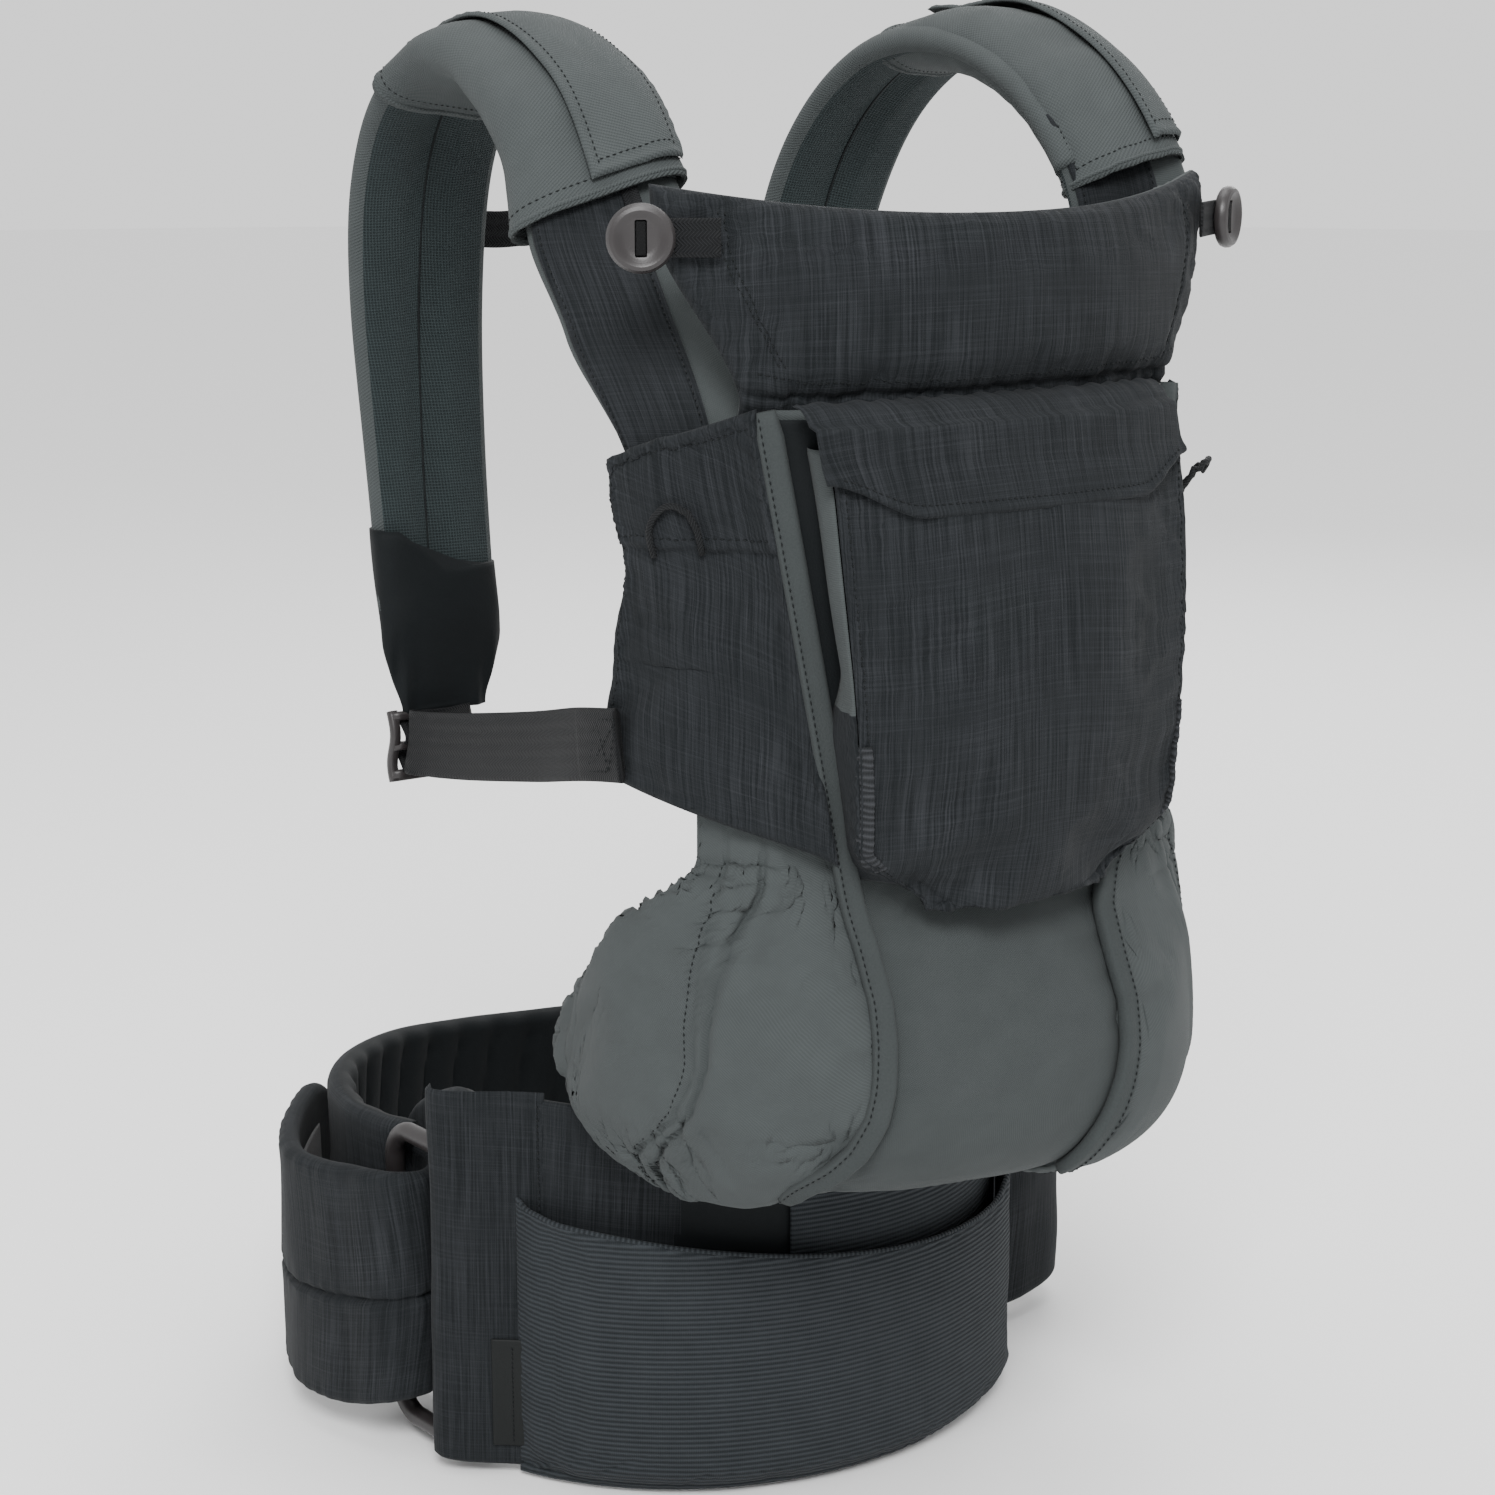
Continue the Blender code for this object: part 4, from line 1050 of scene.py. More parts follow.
def make_gusset(name, side, face):
    """Side wall of the pocket, grey above and heather below, with a ribbed cuff along its edge."""
    def gusset(u, v):
        z = mix(0.236, POCKET_TOP_Z + 0.006, v)
        edge = pocket_face(side, z, 0.0)
        inward = math.radians(mix(1.5, 6.2, ease((z - 0.300) / 0.035)))
        root = body_front(side * (binding_angle(z, side) - inward), 0.0030, z)
        point = Vector((edge.x, edge.y + 0.0010, z)).lerp(root, u)
        fold = math.sin(math.pi * u ** 0.7) * mix(0.2, 1.0, v)
        return point + Vector((side * 0.0025, 0.0020, 0)) * fold
    cloth = Cloth(gusset, 26, 60, (0.0, -0.30, 0.33), (0.4, 0.3))
    folds = rumple(cloth.grid, 0.03, 0.0012, 11 + side, (1.0, 1.0, 0.4))

    def pick(centre, kind):
        return 2 if centre.z < 0.318 else kind
    folds += pucker(cloth.from_left, cloth.from_low, 0.0075, 0.014, 0.0009, 3) * (cloth.grid[..., 2] < 0.32)
    obj = cloth.solid("pocket_side_" + name, 0.0008 + folds, 0.0008 - folds, 0.0012,
                      [KNIT, KNIT, HEATHER], pick)
    belongs(obj, "carrier", "grey_knit", "pocket_gusset_" + name)
    as_sheet(cloth)

    # Dark lining strip on the body panel between the binding and the gusset root: painted shade, a dark
    # sheet standing in for the deep shadow in that crevice.
    def painted_crevice_shade(u, v):
        z = mix(0.252, BODY_TOP_Z - 0.004, v)
        return body_front(side * (binding_angle(z, side) - math.radians(mix(1.0, 11.0, u))), 0.0022, z)
    layer = Cloth(painted_crevice_shade, 12, 40, INSIDE_BODY)
    obj = layer.solid("pocket_painted_crevice_shade_" + name, 0.0006, 0.0006, 0.0010, [LINING])
    belongs(obj, "carrier", "black_lining")
    as_sheet(layer)
    path = [face.at(0.5 + side * 0.496, mix(0.20, 0.46, k / 60))[0] for k in range(61)]
    rings = []
    for i, point in enumerate(path):
        ahead = (path[min(i + 1, 60)] - path[max(i - 1, 0)]).normalized()
        out = Vector((side * 0.9, -0.35, 0)).normalized()
        across = ahead.cross(out).normalized()
        out = across.cross(ahead)
        gather = 1 + 0.05 * math.sin(2 * math.pi * i / 60 * 20)
        rings.append([point + across * a * gather + out * (b * gather - 0.0016)
                      for a, b in oval(0.0046, 0.0016, 3.0, 18)])
    obj = sweep("pocket_cuff_" + name, rings, [CUFF])
    belongs(obj, "carrier", "stretch_knit")


def make_flap():
    """Hinged flap with a stitched hem; its root stays sewn under the headrest."""
    hinge = HINGES["pocket_flap_lift"]
    drop_full = 0.0385
    root_z = BODY_TOP_Z + 0.0030
    lip_z = hinge.z + 0.0015

    def flap(u, v):
        across = mix(-1, 1, u)
        x = mix(-0.1110, 0.0910, u)
        bow = 0.016 * abs(across) ** 2.6
        lip_y = POCKET_MOUTH_Y - 0.0055 + bow
        root_y = hinge.y + 0.0070 + bow * 0.5
        if v < 0.30:
            t = v / 0.30
            y = mix(root_y, lip_y, t ** 0.9)
            return Vector((x, y, mix(root_z, lip_z, t ** 2.2)))
        t = (v - 0.30) / 0.70
        drop = drop_full * mix(0.60, 1.0, ease((1.0 - abs(across)) / 0.40))
        z = lip_z - drop * t
        near = pocket_face(across, min(z, POCKET_TOP_Z), 0.0048)
        y = min(mix(lip_y, near.y, ease(t * 1.5)), near.y)
        return Vector((mix(x, near.x * mix(1.07, 0.985, u), t), y, z))
    cloth = Cloth(flap, 84, 44, (0.0, -0.24, 0.38), (0.6, 0.3))
    folds = rumple(cloth.grid, 0.035, 0.0012, 13, (1.0, 1.0, 0.6)) * ease(cloth.from_low / 0.01)
    rolled = ridge(cloth.to_top - 0.0022, 0.0022, 0.0010)
    folds += pucker(cloth.to_top, cloth.across, 0.010, 0.008, 0.00035, 4)
    folds += pucker(cloth.from_low, cloth.across, 0.013, 0.012, 0.0007, 5)
    obj = cloth.solid("pocket_flap_cloth", 0.0011 + folds + rolled, 0.0009 - folds, 0.0018, [HEATHER])
    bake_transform(obj)
    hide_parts("pocket_flap")
    as_sheet(cloth)
    sew("pocket_flap", cloth.line((0.03, 0.90), (0.97, 0.90), 90))


# ---------------------------------------------------------------- headrest
HEADREST_TUCK = 0.011      # how far its sewn base reaches down behind the flap


def make_headrest():
    """Padded headrest: heather outside, grey lining inside and over its top edge."""
    def panel(u, v):
        across = mix(-1, 1, u)
        half = mix(0.119, HEADREST_HALF_WIDTH + 0.004, ease(v * 1.15))
        x = half * across
        top = HEADREST_TOP_Z + 0.014 * abs(across) ** 2.2
        z = mix(HEADREST_LOW_Z - HEADREST_TUCK, top, v)
        lean = 0.004 * math.sin(math.pi * v) - 0.0070 - 0.0050 * ease((0.14 - v) / 0.14)
        return Vector((x, HEADREST_FRONT_Y - lean + HEADREST_SAG * (abs(x) / 0.164) ** 2, z))
    cloth = Cloth(panel, 110, 56, (0.0, 0.1, 0.47), (0.6, 0.6))
    cloth.settle(1.0, 0.010, 0.003)
    seam_u = 0.085
    from_seam = np.minimum(np.abs(cloth.us - seam_u), np.abs(cloth.us - (1 - seam_u)))[:, None]
    from_seam = from_seam * cloth.from_left[-1][None, :]
    from_base = cloth.from_low - HEADREST_TUCK - 0.0060
    crown = 0.0028 * np.clip(cloth.edge / 0.03, 0, 1) ** 0.6
    sewn = groove(from_seam, 0.0016, 0.0014) + groove(from_base, 0.0018, 0.0026)
    folds = rumple(cloth.grid, 0.055, 0.0016, 17, (0.8, 1, 1.3))
    folds += pucker(np.abs(from_base), cloth.across, 0.013, 0.012, 0.0006, 3)
    folds += pucker(from_seam, cloth.from_low, 0.008, 0.006, 0.0003, 6)
    front = 0.0052 + crown + sewn + folds
    obj = cloth.solid("headrest_pad", front, 0.0068 + crown, 0.0080, [HEATHER, KNIT])
    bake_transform(obj)
    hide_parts("headrest_cover", "headrest_foam", "headrest_lining")
    for u in (seam_u - 0.004, seam_u + 0.004, 1 - seam_u - 0.004, 1 - seam_u + 0.004):
        sew("headrest", cloth.line((u, 0.27), (u, 0.95), 40))
    sew("headrest", cloth.line((0.04, 0.235), (0.96, 0.235), 110))
    for name, side in SIDES:
        make_headrest_tab(name, side)


def placed(centre, *axes):
    """Transform that carries X, Y and Z onto the axes, at a centre."""
    turn = Matrix(axes).transposed().to_4x4()
    turn.translation = centre
    return turn


def make_button(name, centre, axis, way):
    """Domed disc with a raised rim and a slot for its webbing; way is along the slot."""
    axis = axis.normalized()
    way = (way - axis * way.dot(axis)).normalized()
    third = axis.cross(way)
    profile = ((0.0, 0.0014), (0.0065, 0.0014), (0.0088, 0.0020), (0.0104, 0.0034), (0.0118, 0.0040),
               (0.0134, 0.0035), (0.0146, 0.0018), (0.0148, 0.0), (0.0142, -0.0018),
               (0.0128, -0.0028), (0.0056, -0.0030), (0.0, -0.0030))
    rings = []
    for k in range(48):
        t = 2 * math.pi * k / 48
        spoke = way * math.cos(t) + third * math.sin(t)
        rings.append([centre + spoke * max(r, 0.00002) + axis * h for r, h in profile])
    disc = sweep(name, rings, [PLASTIC], closed=True)
    cutter = block(name + "_slot", (-0.0026, -0.0078, -0.01), (0.0026, 0.0078, 0.01), 0.0008, PLASTIC)
    cutter.matrix_world = placed(centre, third, way, axis)
    return drilled(disc, cutter)


def make_headrest_tab(name, side):
    """Webbing tab from the headrest's end, with its slotted button."""
    box_low, box_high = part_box("headrest_button_" + name)
    centre = (box_low + box_high) / 2
    axis = Vector((side * 0.50, -0.866, 0.0)).normalized()
    inboard = Vector((-side * 0.866, -0.50, 0.0)).normalized()
    up = Vector((0, 0, 1))
    run = ((0.034, 0.0022), (0.020, 0.0034), (0.006, 0.0042), (0.0, 0.0040), (-0.004, 0.0040))
    path = smooth_path([centre + inboard * inward - axis * under for inward, under in run], 14)
    obj = ribbon("headrest_tab_web_" + name, path, up, 0.0165, 0.0018, WEB)
    belongs(obj, "headrest", "webbing", "headrest_tab_" + name)
    obj = make_button("headrest_disc_" + name, centre, axis, up)
    belongs(obj, "headrest", "acetal", "headrest_button_" + name)
    bar = block("headrest_disc_web_" + name, (-0.0022, -0.0072, -0.0034), (0.0022, 0.0072, -0.0004),
                0.0006, WEB)
    bar.matrix_world = placed(centre, axis.cross(up), up, axis)
    fixed(bar)
    belongs(bar, "headrest", "webbing")


# ---------------------------------------------------------------- shoulder straps
STRAP_ROUTES = {
    -1: [(-0.138, -0.212, 0.424), (-0.138, -0.187, 0.476), (-0.131, -0.160, 0.526),
         (-0.128, -0.123, 0.573), (-0.130, -0.070, 0.597), (-0.130, -0.018, 0.580),
         (-0.126, 0.020, 0.540), (-0.122, 0.040, 0.474), (-0.122, 0.040, 0.395),
         (-0.124, 0.030, 0.317)],
    1: [(0.138, -0.206, 0.430), (0.134, -0.214, 0.486), (0.134, -0.212, 0.534),
        (0.134, -0.172, 0.578), (0.133, -0.110, 0.602), (0.130, -0.045, 0.596),
        (0.126, 0.008, 0.554), (0.122, 0.036, 0.486), (0.122, 0.040, 0.395),
        (0.124, 0.030, 0.317)],
}
STRAP_TURN = {-1: Vector((0.80, -0.40, 0.45)), 1: Vector((0.98, -0.03, 0.20))}
STRAP_STATIONS = 36
STRAP_STEPS = STRAP_STATIONS * 4
STRAP_WIDTH = 0.074


class Strap:
    """A shoulder strap's route: station 0 at its root on the body, 36 at the end of its pad."""

    def __init__(self, side):
        self.side = side
        self.path = smooth_path(STRAP_ROUTES[side], STRAP_STEPS)

    def frame(self, station):
        """Place, width direction and outward direction at a station."""
        k = min(max(station * 4, 0.0), STRAP_STEPS)
        i = min(int(k), STRAP_STEPS - 1)
        place = self.path[i].lerp(self.path[i + 1], k - i)
        ahead = (self.path[min(i + 2, STRAP_STEPS)] - self.path[max(i - 1, 0)]).normalized()
        share = ease(station / STRAP_STATIONS / 0.45)
        way = STRAP_TURN[self.side].lerp(Vector((1, 0, 0)), share).normalized()
        out = way.cross(ahead).normalized()
        way = ahead.cross(out)
        return place, way, out

    def at(self, station, across, out):
        """Point at a station, that far toward +X across the strap and that far outward."""
        place, way, outward = self.frame(station)
        return place + way * across + outward * out

    def rings(self, stations, section, slant=0.0):
        """Cross-sections along the strap; section(t) gives (across, out) pairs."""
        made = []
        last = len(stations) - 1
        for i, station in enumerate(stations):
            made.append([self.at(station + slant * a / 0.04, a, b) for a, b in section(i / last)])
        return made


def make_strap(name, side):
    strap = Strap(side)
    make_strap_pad(name, strap)
    make_strap_root(name, strap)
    make_sleeve(name, strap)
    make_strap_end(name, strap)
    make_adjuster(name, strap)


def make_strap_pad(name, strap):
    """Padded arch: grey cover rolled round its edges, airy mesh with a sewn channel inside."""
    side = strap.side
    count = 40
    inner = [k for k, (a, b) in enumerate(oval(1, 1, 3.2, count)) if b < -0.35 and abs(a) < 0.84]
    kinds = [1 if k in inner or (k + 1) % count in inner else 0 for k in range(count)]
    stations = [mix(8.8, 36.0, k / 110) for k in range(111)]

    def section(t):
        ends = min(1.0, 0.55 + 0.45 * (1 - t) / 0.02)
        half_w, half_t = STRAP_WIDTH / 2 + 0.0010, 0.0102 * ends
        made = []
        for a, b in oval(half_w, half_t, 3.2, count):
            if a * side > 0:
                a *= mix(1.03, 0.76, ease((t - 0.58) / 0.38))
            if b < 0:
                channel = 0.0050 * math.exp(-(a / 0.0035) ** 2)
                dish = 0.0022 * (1 - (a / half_w) ** 2)
                b += (channel + dish) * ease(t / 0.25)
                b -= 0.0006 * math.sin(a * 160) * (1 - abs(a) / half_w)
            made.append((a, b))
        return made
    rings = as_array(strap.rings(stations, section))
    rings += rumple(rings, 0.05, 0.0009, 21 + side)[..., None] * np.array([0.5, 0.6, 0.6])
    obj = sweep("shoulder_pad_" + name, rings, [SLEEVE, MESH], kinds)
    belongs(obj, "carrier", "grey_knit", "strap_cover_" + name, "strap_foam_" + name,
            "strap_mesh_" + name, fill=0.7)
    seam = [strap.at(mix(13.5, 35, k / 80), 0.0, -0.0031) for k in range(81)]
    obj = tube("shoulder_pad_channel_" + name, seam, 0.0007, THREAD, 6)
    belongs(obj, "carrier", "black_lining")


def make_strap_root(name, strap):
    """Padded root from the body's top corner up into the sleeve, with its heather band."""
    side = strap.side
    reach = {-1: 0.050, 1: 0.036}[side]

    def root(u, v):
        station = mix(0.6, 11.0, v)
        edge = u if side < 0 else 1 - u
        outer_edge = mix(-0.025, -0.036, ease((v - 0.30) / 0.35))
        across = mix(outer_edge, mix(reach, 0.036, ease(v)), edge)
        on_strap = strap.at(station, across, 0.0)
        angle = side * mix(math.radians({-1: 75, 1: 67}[side]), math.radians(46), edge)
        on_body = body_front(angle, -0.0075, mix(0.400, 0.450, v / 0.35))
        return on_body.lerp(on_strap, ease(v / 0.33))
    cloth = Cloth(root, 44, 60, (0.0, -0.02, 0.44), (0.5, 0.2))
    crown = 0.0020 * np.clip(cloth.edge / 0.02, 0, 1) ** 0.6
    front = 0.0042 + crown + rumple(cloth.grid, 0.04, 0.0014, 25 + side)
    obj = cloth.solid("strap_root_" + name, front, 0.0045 + crown, 0.0060, [KNIT, MESH])
    belongs(obj, "carrier", "grey_knit", "strap_front_" + name, fill=0.5)

    near, far = (0.020, 0.66) if side < 0 else (0.34, 0.980)

    def band(u, v):
        return cloth.at(mix(near, far, u), mix(0.04, 0.98, v), 0.0014)[0]
    layer = Cloth(band, 30, 56, (0.0, -0.02, 0.44), (0.5, 0.2))
    folds = rumple(layer.grid, 0.03, 0.0006, 27 + side)
    obj = layer.solid("strap_band_" + name, 0.0009 + folds, 0.0009, 0.0014, [HEATHER])
    belongs(obj, "carrier", "dark_heather")
    as_sheet(layer)
    sew("carrier", layer.line((0.06, 0.02), (0.06, 0.95), 50))
    sew("carrier", layer.line((0.94, 0.02), (0.94, 0.95), 50))
    start, end = (0.52, 0.78) if side < 0 else (0.22, 0.46)
    path = [cloth.at(mix(near, far, 0.97), mix(start, end, k / 20),
                     0.0030 + 0.0016 * math.sin(math.pi * k / 20) ** 2)[0] for k in range(21)]
    _, way, _ = strap.frame(6)
    obj = ribbon("strap_loop_web_" + name, path, way, 0.0080, 0.0013, WEB)
    belongs(obj, "carrier", "webbing")


def make_sleeve(name, strap):
    """Knit sleeve round the padded arch, open at both ends, with its closing flap."""
    side = strap.side
    half_w, half_t, power = {-1: (0.0415, 0.0140, 3.0), 1: (0.0345, 0.0185, 2.4)}[side]
    end_half_t = 0.0122
    first, last, slant = {-1: (8.1, 20.5, 0.62), 1: (8.3, 19.8, 0.5)}[side]
    stations = [mix(first, last, k / 56) for k in range(57)]

    def snug(t):
        return mix(half_t, end_half_t, ease((t - 0.60) / 0.40))

    def belly(t):
        return 1 + 0.05 * math.sin(math.pi * t)

    def outer(t):
        flare = 1 + 0.035 * math.exp(-(t / 0.05) ** 2) + 0.02 * math.exp(-((1 - t) / 0.06) ** 2)
        return oval(half_w * flare, snug(t) * flare * belly(t), power, 44)
    rings = as_array(strap.rings(stations, outer, slant))
    centre = rings.mean(axis=1, keepdims=True)
    folds = rumple(rings, 0.032, 0.0022, 31 + side, (0.8, 1.0, 1.0))
    folds += rumple(rings, 0.012, 0.0005, 33 + side)
    away = rings - centre
    away /= np.linalg.norm(away, axis=2, keepdims=True)
    rings = rings + away * folds[..., None]
    inside = rings - away * 0.0020
    whole = np.concatenate([rings, inside[::-1]])
    obj = sweep("shoulder_sleeve_" + name, whole, [SLEEVE], closed=True)
    belongs(obj, "carrier", "grey_knit", "strap_sleeve_" + name)
    for end, tag in ((1, "front"), (-2, "back")):
        hem = [Vector(p) for p in rings[end] - away[end] * 0.0006]
        obj = tube("sleeve_hem_%s_%s" % (tag, name), hem, 0.0013, SLEEVE, 8, closed=True)
        belongs(obj, "carrier", "grey_knit")
    for k in (3, -4):
        sew("carrier", [(Vector(place), Vector(out)) for place, out in zip(rings[k], away[k])])

    flap_low, flap_high = {-1: (-0.006, 0.0415), 1: (0.008, 0.0345)}[side]

    def flap(u, v):
        station = mix(first + 0.55, last - 0.6, v)
        a = mix(flap_low + {-1: -0.016, 1: -0.004}[side] * v, flap_high, u)
        share = min(abs(a) / (half_w * 1.02), 1.0)
        bulge = snug(v) * belly(v) * (1 - share ** power) ** (1 / 2.2)
        lift = 0.0026 + 0.0022 * abs(noise.noise(Vector((u * 2.0, v * 2.5, side))))
        curl = 0.0050 * ease((v - 0.86) / 0.14) * (1 - u)
        return strap.at(station + slant * a / 0.04, a, bulge + lift + curl)
    cloth = Cloth(flap, 40, 60, tuple(strap.at(14, 0, -0.05)), (0.6, 0.5))
    rolled = ridge(cloth.edge - 0.0020, 0.0018, 0.0008)
    folds = pucker(cloth.edge, cloth.from_low + cloth.across, 0.010, 0.007, 0.00025, side)
    obj = cloth.solid("sleeve_flap_cloth_" + name, 0.0009 + rolled + folds, 0.0009, 0.0020, [SLEEVE])
    belongs(obj, "carrier", "grey_knit", "sleeve_flap_" + name)
    as_sheet(cloth)
    for u in (0.10, 0.90):
        sew("carrier", cloth.line((u, 0.03), (u, 0.97), 60))
    sew("carrier", cloth.line((0.10, 0.045), (0.90, 0.045), 30))

    _, way, out = strap.frame(22.0)
    spot = strap.at(22.0, 0.0, 0.0160)
    obj = make_button("strap_disc_" + name, spot, out, way)
    belongs(obj, "carrier", "acetal")
    path = [strap.at(mix(20.2, 25.0, k / 12), 0.0, 0.0112 + 0.0012 * math.sin(k / 12 * math.pi))
            for k in range(13)]
    obj = ribbon("strap_disc_web_" + name, path, way, 0.0150, 0.0016, WEB)
    belongs(obj, "carrier", "webbing")


STRAP_END_TOP_Z = 0.338


def make_strap_end(name, strap):
    """Nylon end of the pad, gathered down to the ladder lock."""
    side = strap.side
    lock = HINGES["ladder_lock_tilt_" + name]
    top = strap.at(36, 0, 0)
    rings = []
    for k in range(37):
        t = k / 36
        z = mix(STRAP_END_TOP_Z, lock.z + 0.0015, t)
        inboard = mix(0.0045, 0.0090, t)
        middle = Vector((mix(top.x, lock.x, ease((t - 0.3) / 0.7)) - side * inboard,
                         mix(0.0322, lock.y, ease(t * 0.9 + 0.1)), z))
        width = mix(0.0345, 0.0245, ease((t - 0.50) / 0.50))
        thick = mix(0.0118, 0.0030, ease(t * 1.05))
        ring = []
        for a, b in oval(width, thick, mix(3.2, 5.0, t), 40):
            outward = max(0.0, a * side) / 0.039
            lift = 0.021 * min(outward * 1.6, 1.0) * (1 - t) ** 4
            gather = 0.0010 * math.sin(a * 620) * ease((t - 0.25) / 0.6)
            proud = 0.0075 * max(-b / thick, 0.0) * (1 - ease(t / 0.5))
            ring.append(middle + Vector((a, -b + gather + proud, lift)))
        rings.append(ring)
    rings = as_array(rings)
    rings[1:-1] += rumple(rings, 0.022, 0.0020, 41 + side)[1:-1, :, None] * np.array([0.5, 1.0, 0.2])
    obj = sweep("strap_end_cloth_" + name, rings, [LINING])
    belongs(obj, "carrier", "black_lining", "strap_end_" + name)
    make_lock(name, lock)


def make_lock(name, axis):
    """Ladder lock: curved side rails joined by three bars, with webbing room between them."""
    def height(z):
        return axis.y + 0.0022 * math.sin((z - axis.z) / 0.034 * 2 * math.pi)
    parts = []
    for sign in (-1, 1):
        levels = [axis.z + mix(0.0030, -0.0340, k / 14) for k in range(15)]
        path = [Vector((axis.x + sign * 0.0212, height(z), z)) for z in levels]
        parts.append(ribbon("rail", path, (1, 0, 0), 0.0056, 0.0050, PLASTIC, 3.5, 14))
    for drop, size in ((0.0004, 0.0050), (-0.0152, 0.0046), (-0.0312, 0.0062)):
        z = axis.z + drop
        path = [Vector((axis.x + mix(-0.0225, 0.0225, k / 8), height(z) - 0.0008, z)) for k in range(9)]
        parts.append(ribbon("bar", path, (0, 0, 1), size, 0.0044, PLASTIC, 3.0, 14))
    weave = []
    for k in range(41):
        t = k / 40
        z = axis.z + mix(-0.002, -0.029, t)
        weave.append(Vector((axis.x, height(z) - 0.0005 + 0.0030 * math.cos(t * math.pi * 3), z)))
    obj = ribbon("lock_webbing_" + name, weave, (1, 0, 0), 0.0345, 0.0018, WEB)
    belongs(obj, "ladder_lock_" + name, "webbing")
    obj = joined("ladder_lock_body_" + name, parts)
    belongs(obj, "ladder_lock_" + name, "acetal", "ladder_lock_" + name)


def make_adjuster(name, strap):
    """Webbing from the ladder lock to its folded, box-stitched end on the side wing."""
    side = strap.side
    end = Vector((side * 0.1590, low("adjuster_web_" + name).y + 0.001, 0.2940))
    start = Vector((side * 0.1095, 0.0215, 0.2500))
    path = smooth_path([start, (side * 0.1240, 0.0175, 0.2500), (side * 0.1385, 0.0180, 0.2502),
                        (side * 0.1455, 0.0130, 0.2506), (side * 0.1440, -0.0080, 0.2530),
                        (side * 0.1440, -0.0500, 0.2600), (side * 0.1480, -0.1200, 0.2740),
                        (side * 0.1580, -0.1780, 0.2875), end], 120)

    def thickness(t):
        return 0.0020 if t < 0.88 else 0.0038
    obj = ribbon("adjuster_webbing_" + name, path, (0, -0.26, 1.0), 0.0340, thickness, WEB,
                 8.0, 18)
    belongs(obj, "carrier", "webbing", "adjuster_web_" + name)
    up = Vector((0, -0.26, 1.0)).normalized()
    ahead = (path[-1] - path[-16]).normalized()
    out = ahead.cross(up).normalized()
    out = out if out.x * side > 0 else -out
    corners = []
    for along, rise in ((-0.003, -0.013), (-0.003, 0.013), (-0.021, 0.013), (-0.021, -0.013)):
        corners.append(path[-1] + ahead * along + up * rise + out * 0.0021)
    for a, b in ((0, 1), (1, 2), (2, 3), (3, 0), (0, 2), (1, 3)):
        sew("carrier", [(corners[a].lerp(corners[b], k / 8), out) for k in range(9)])


# ---------------------------------------------------------------- cross-back strap
def make_cross_strap():
    """Webbing and side-release buckle between the shoulder straps, on sliders over sewn rails."""
    socket_low, socket_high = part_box("cross_buckle_socket")
    centre = Vector((0.0, (socket_low.y + socket_high.y) / 2, (socket_low.z + socket_high.z) / 2))

    def part(name, x_low, x_high, half_y, half_z, bevel, rise=0.0):
        """Block centred on the webbing, or raised off it."""
        z = centre.z + rise
        return block(name, (x_low, centre.y - half_y, z - half_z), (x_high, centre.y + half_y, z + half_z),
                     bevel, PLASTIC)

    shell = block("socket_shell", socket_low, socket_high, 0.0022, PLASTIC)
    mouth = part("mouth", -0.021, 0.012, 0.0031, 0.0098, 0.0008)
    windows = [part("window", -0.017, -0.005, 0.02, 0.0035, 0.0010, rise) for rise in (-0.0125, 0.0125)]
    obj = drilled(shell, mouth, *windows)
    obj.name = "cross_socket_shell"
    belongs(obj, "cross_strap", "acetal", "cross_buckle_socket")

    arms = [part("arm", -0.0180, 0.0040, 0.0023, 0.0020, 0.0009, rise) for rise in (-0.0058, 0.0058)]
    arms.append(part("tongue", -0.0140, 0.0040, 0.0018, 0.0016, 0.0007))
    arms.append(part("yoke", 0.0040, 0.0130, 0.0040, 0.0115, 0.0018))
    arms += [part("ear", 0.0120, 0.0250, 0.0030, 0.0018, 0.0010, rise) for rise in (-0.0105, 0.0105)]
    arms.append(part("bar", 0.0205, 0.0250, 0.0022, 0.0115, 0.0012))
    obj = joined("cross_plug_shell", arms)
    belongs(obj, "cross_plug", "acetal", "cross_buckle_plug")

    for name, side, inner in (("left", -1, 0.0262), ("right", 1, 0.0215)):
        path = [Vector((side * mix(inner, 0.1190, k / 30), centre.y,
                        centre.z + 0.0006 * math.sin(k * 0.4))) for k in range(31)]
        obj = ribbon("cross_webbing_" + name, path, (0, 0, 1), 0.0190, 0.0018, WEB, 8.0, 16)
        body = "cross_strap" if side < 0 else "cross_plug"
        belongs(obj, body, "webbing", "cross_web_" + name)
        across = [Vector((side * (inner + 0.012), centre.y + 0.0010, centre.z + mix(-0.008, 0.008, k / 6)))
                  for k in range(7)]
        sew(body, [(place, Vector((0, 1, 0))) for place in across])
        slider_low, slider_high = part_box("cross_slider_" + name)
        shell = block("cross_slider_shell_" + name, slider_low, slider_high, 0.0020, PLASTIC)
        slot = part("slot", slider_low.x - 0.01, slider_high.x + 0.01, 0.0019, 0.0103, 0.0006)
        obj = drilled(shell, slot)
        belongs(obj, "cross_strap", "acetal", "cross_slider_" + name)
        x = (slider_low.x + slider_high.x) / 2
        strap = Strap(side)
        rail = []
        for k in range(31):
            t = k / 30
            z = mix(0.566, 0.440, t)
            station = min(np.arange(20, 36, 0.25), key=lambda s: abs(strap.at(s, 0, 0.0112).z - z))
            on_pad = strap.at(float(station), 0, 0.0108)
            rise = math.sin(math.pi * t) ** 0.35
            rail.append(Vector((x, mix(on_pad.y, max(on_pad.y, slider_low.y - 0.0018), rise), z)))
        rail = smooth_path(rail[::5], 40)
        obj = ribbon("cross_rail_" + name, rail, (1, 0, 0), 0.0120, 0.0018, WEB, 8.0, 14)
        belongs(obj, "carrier", "webbing")


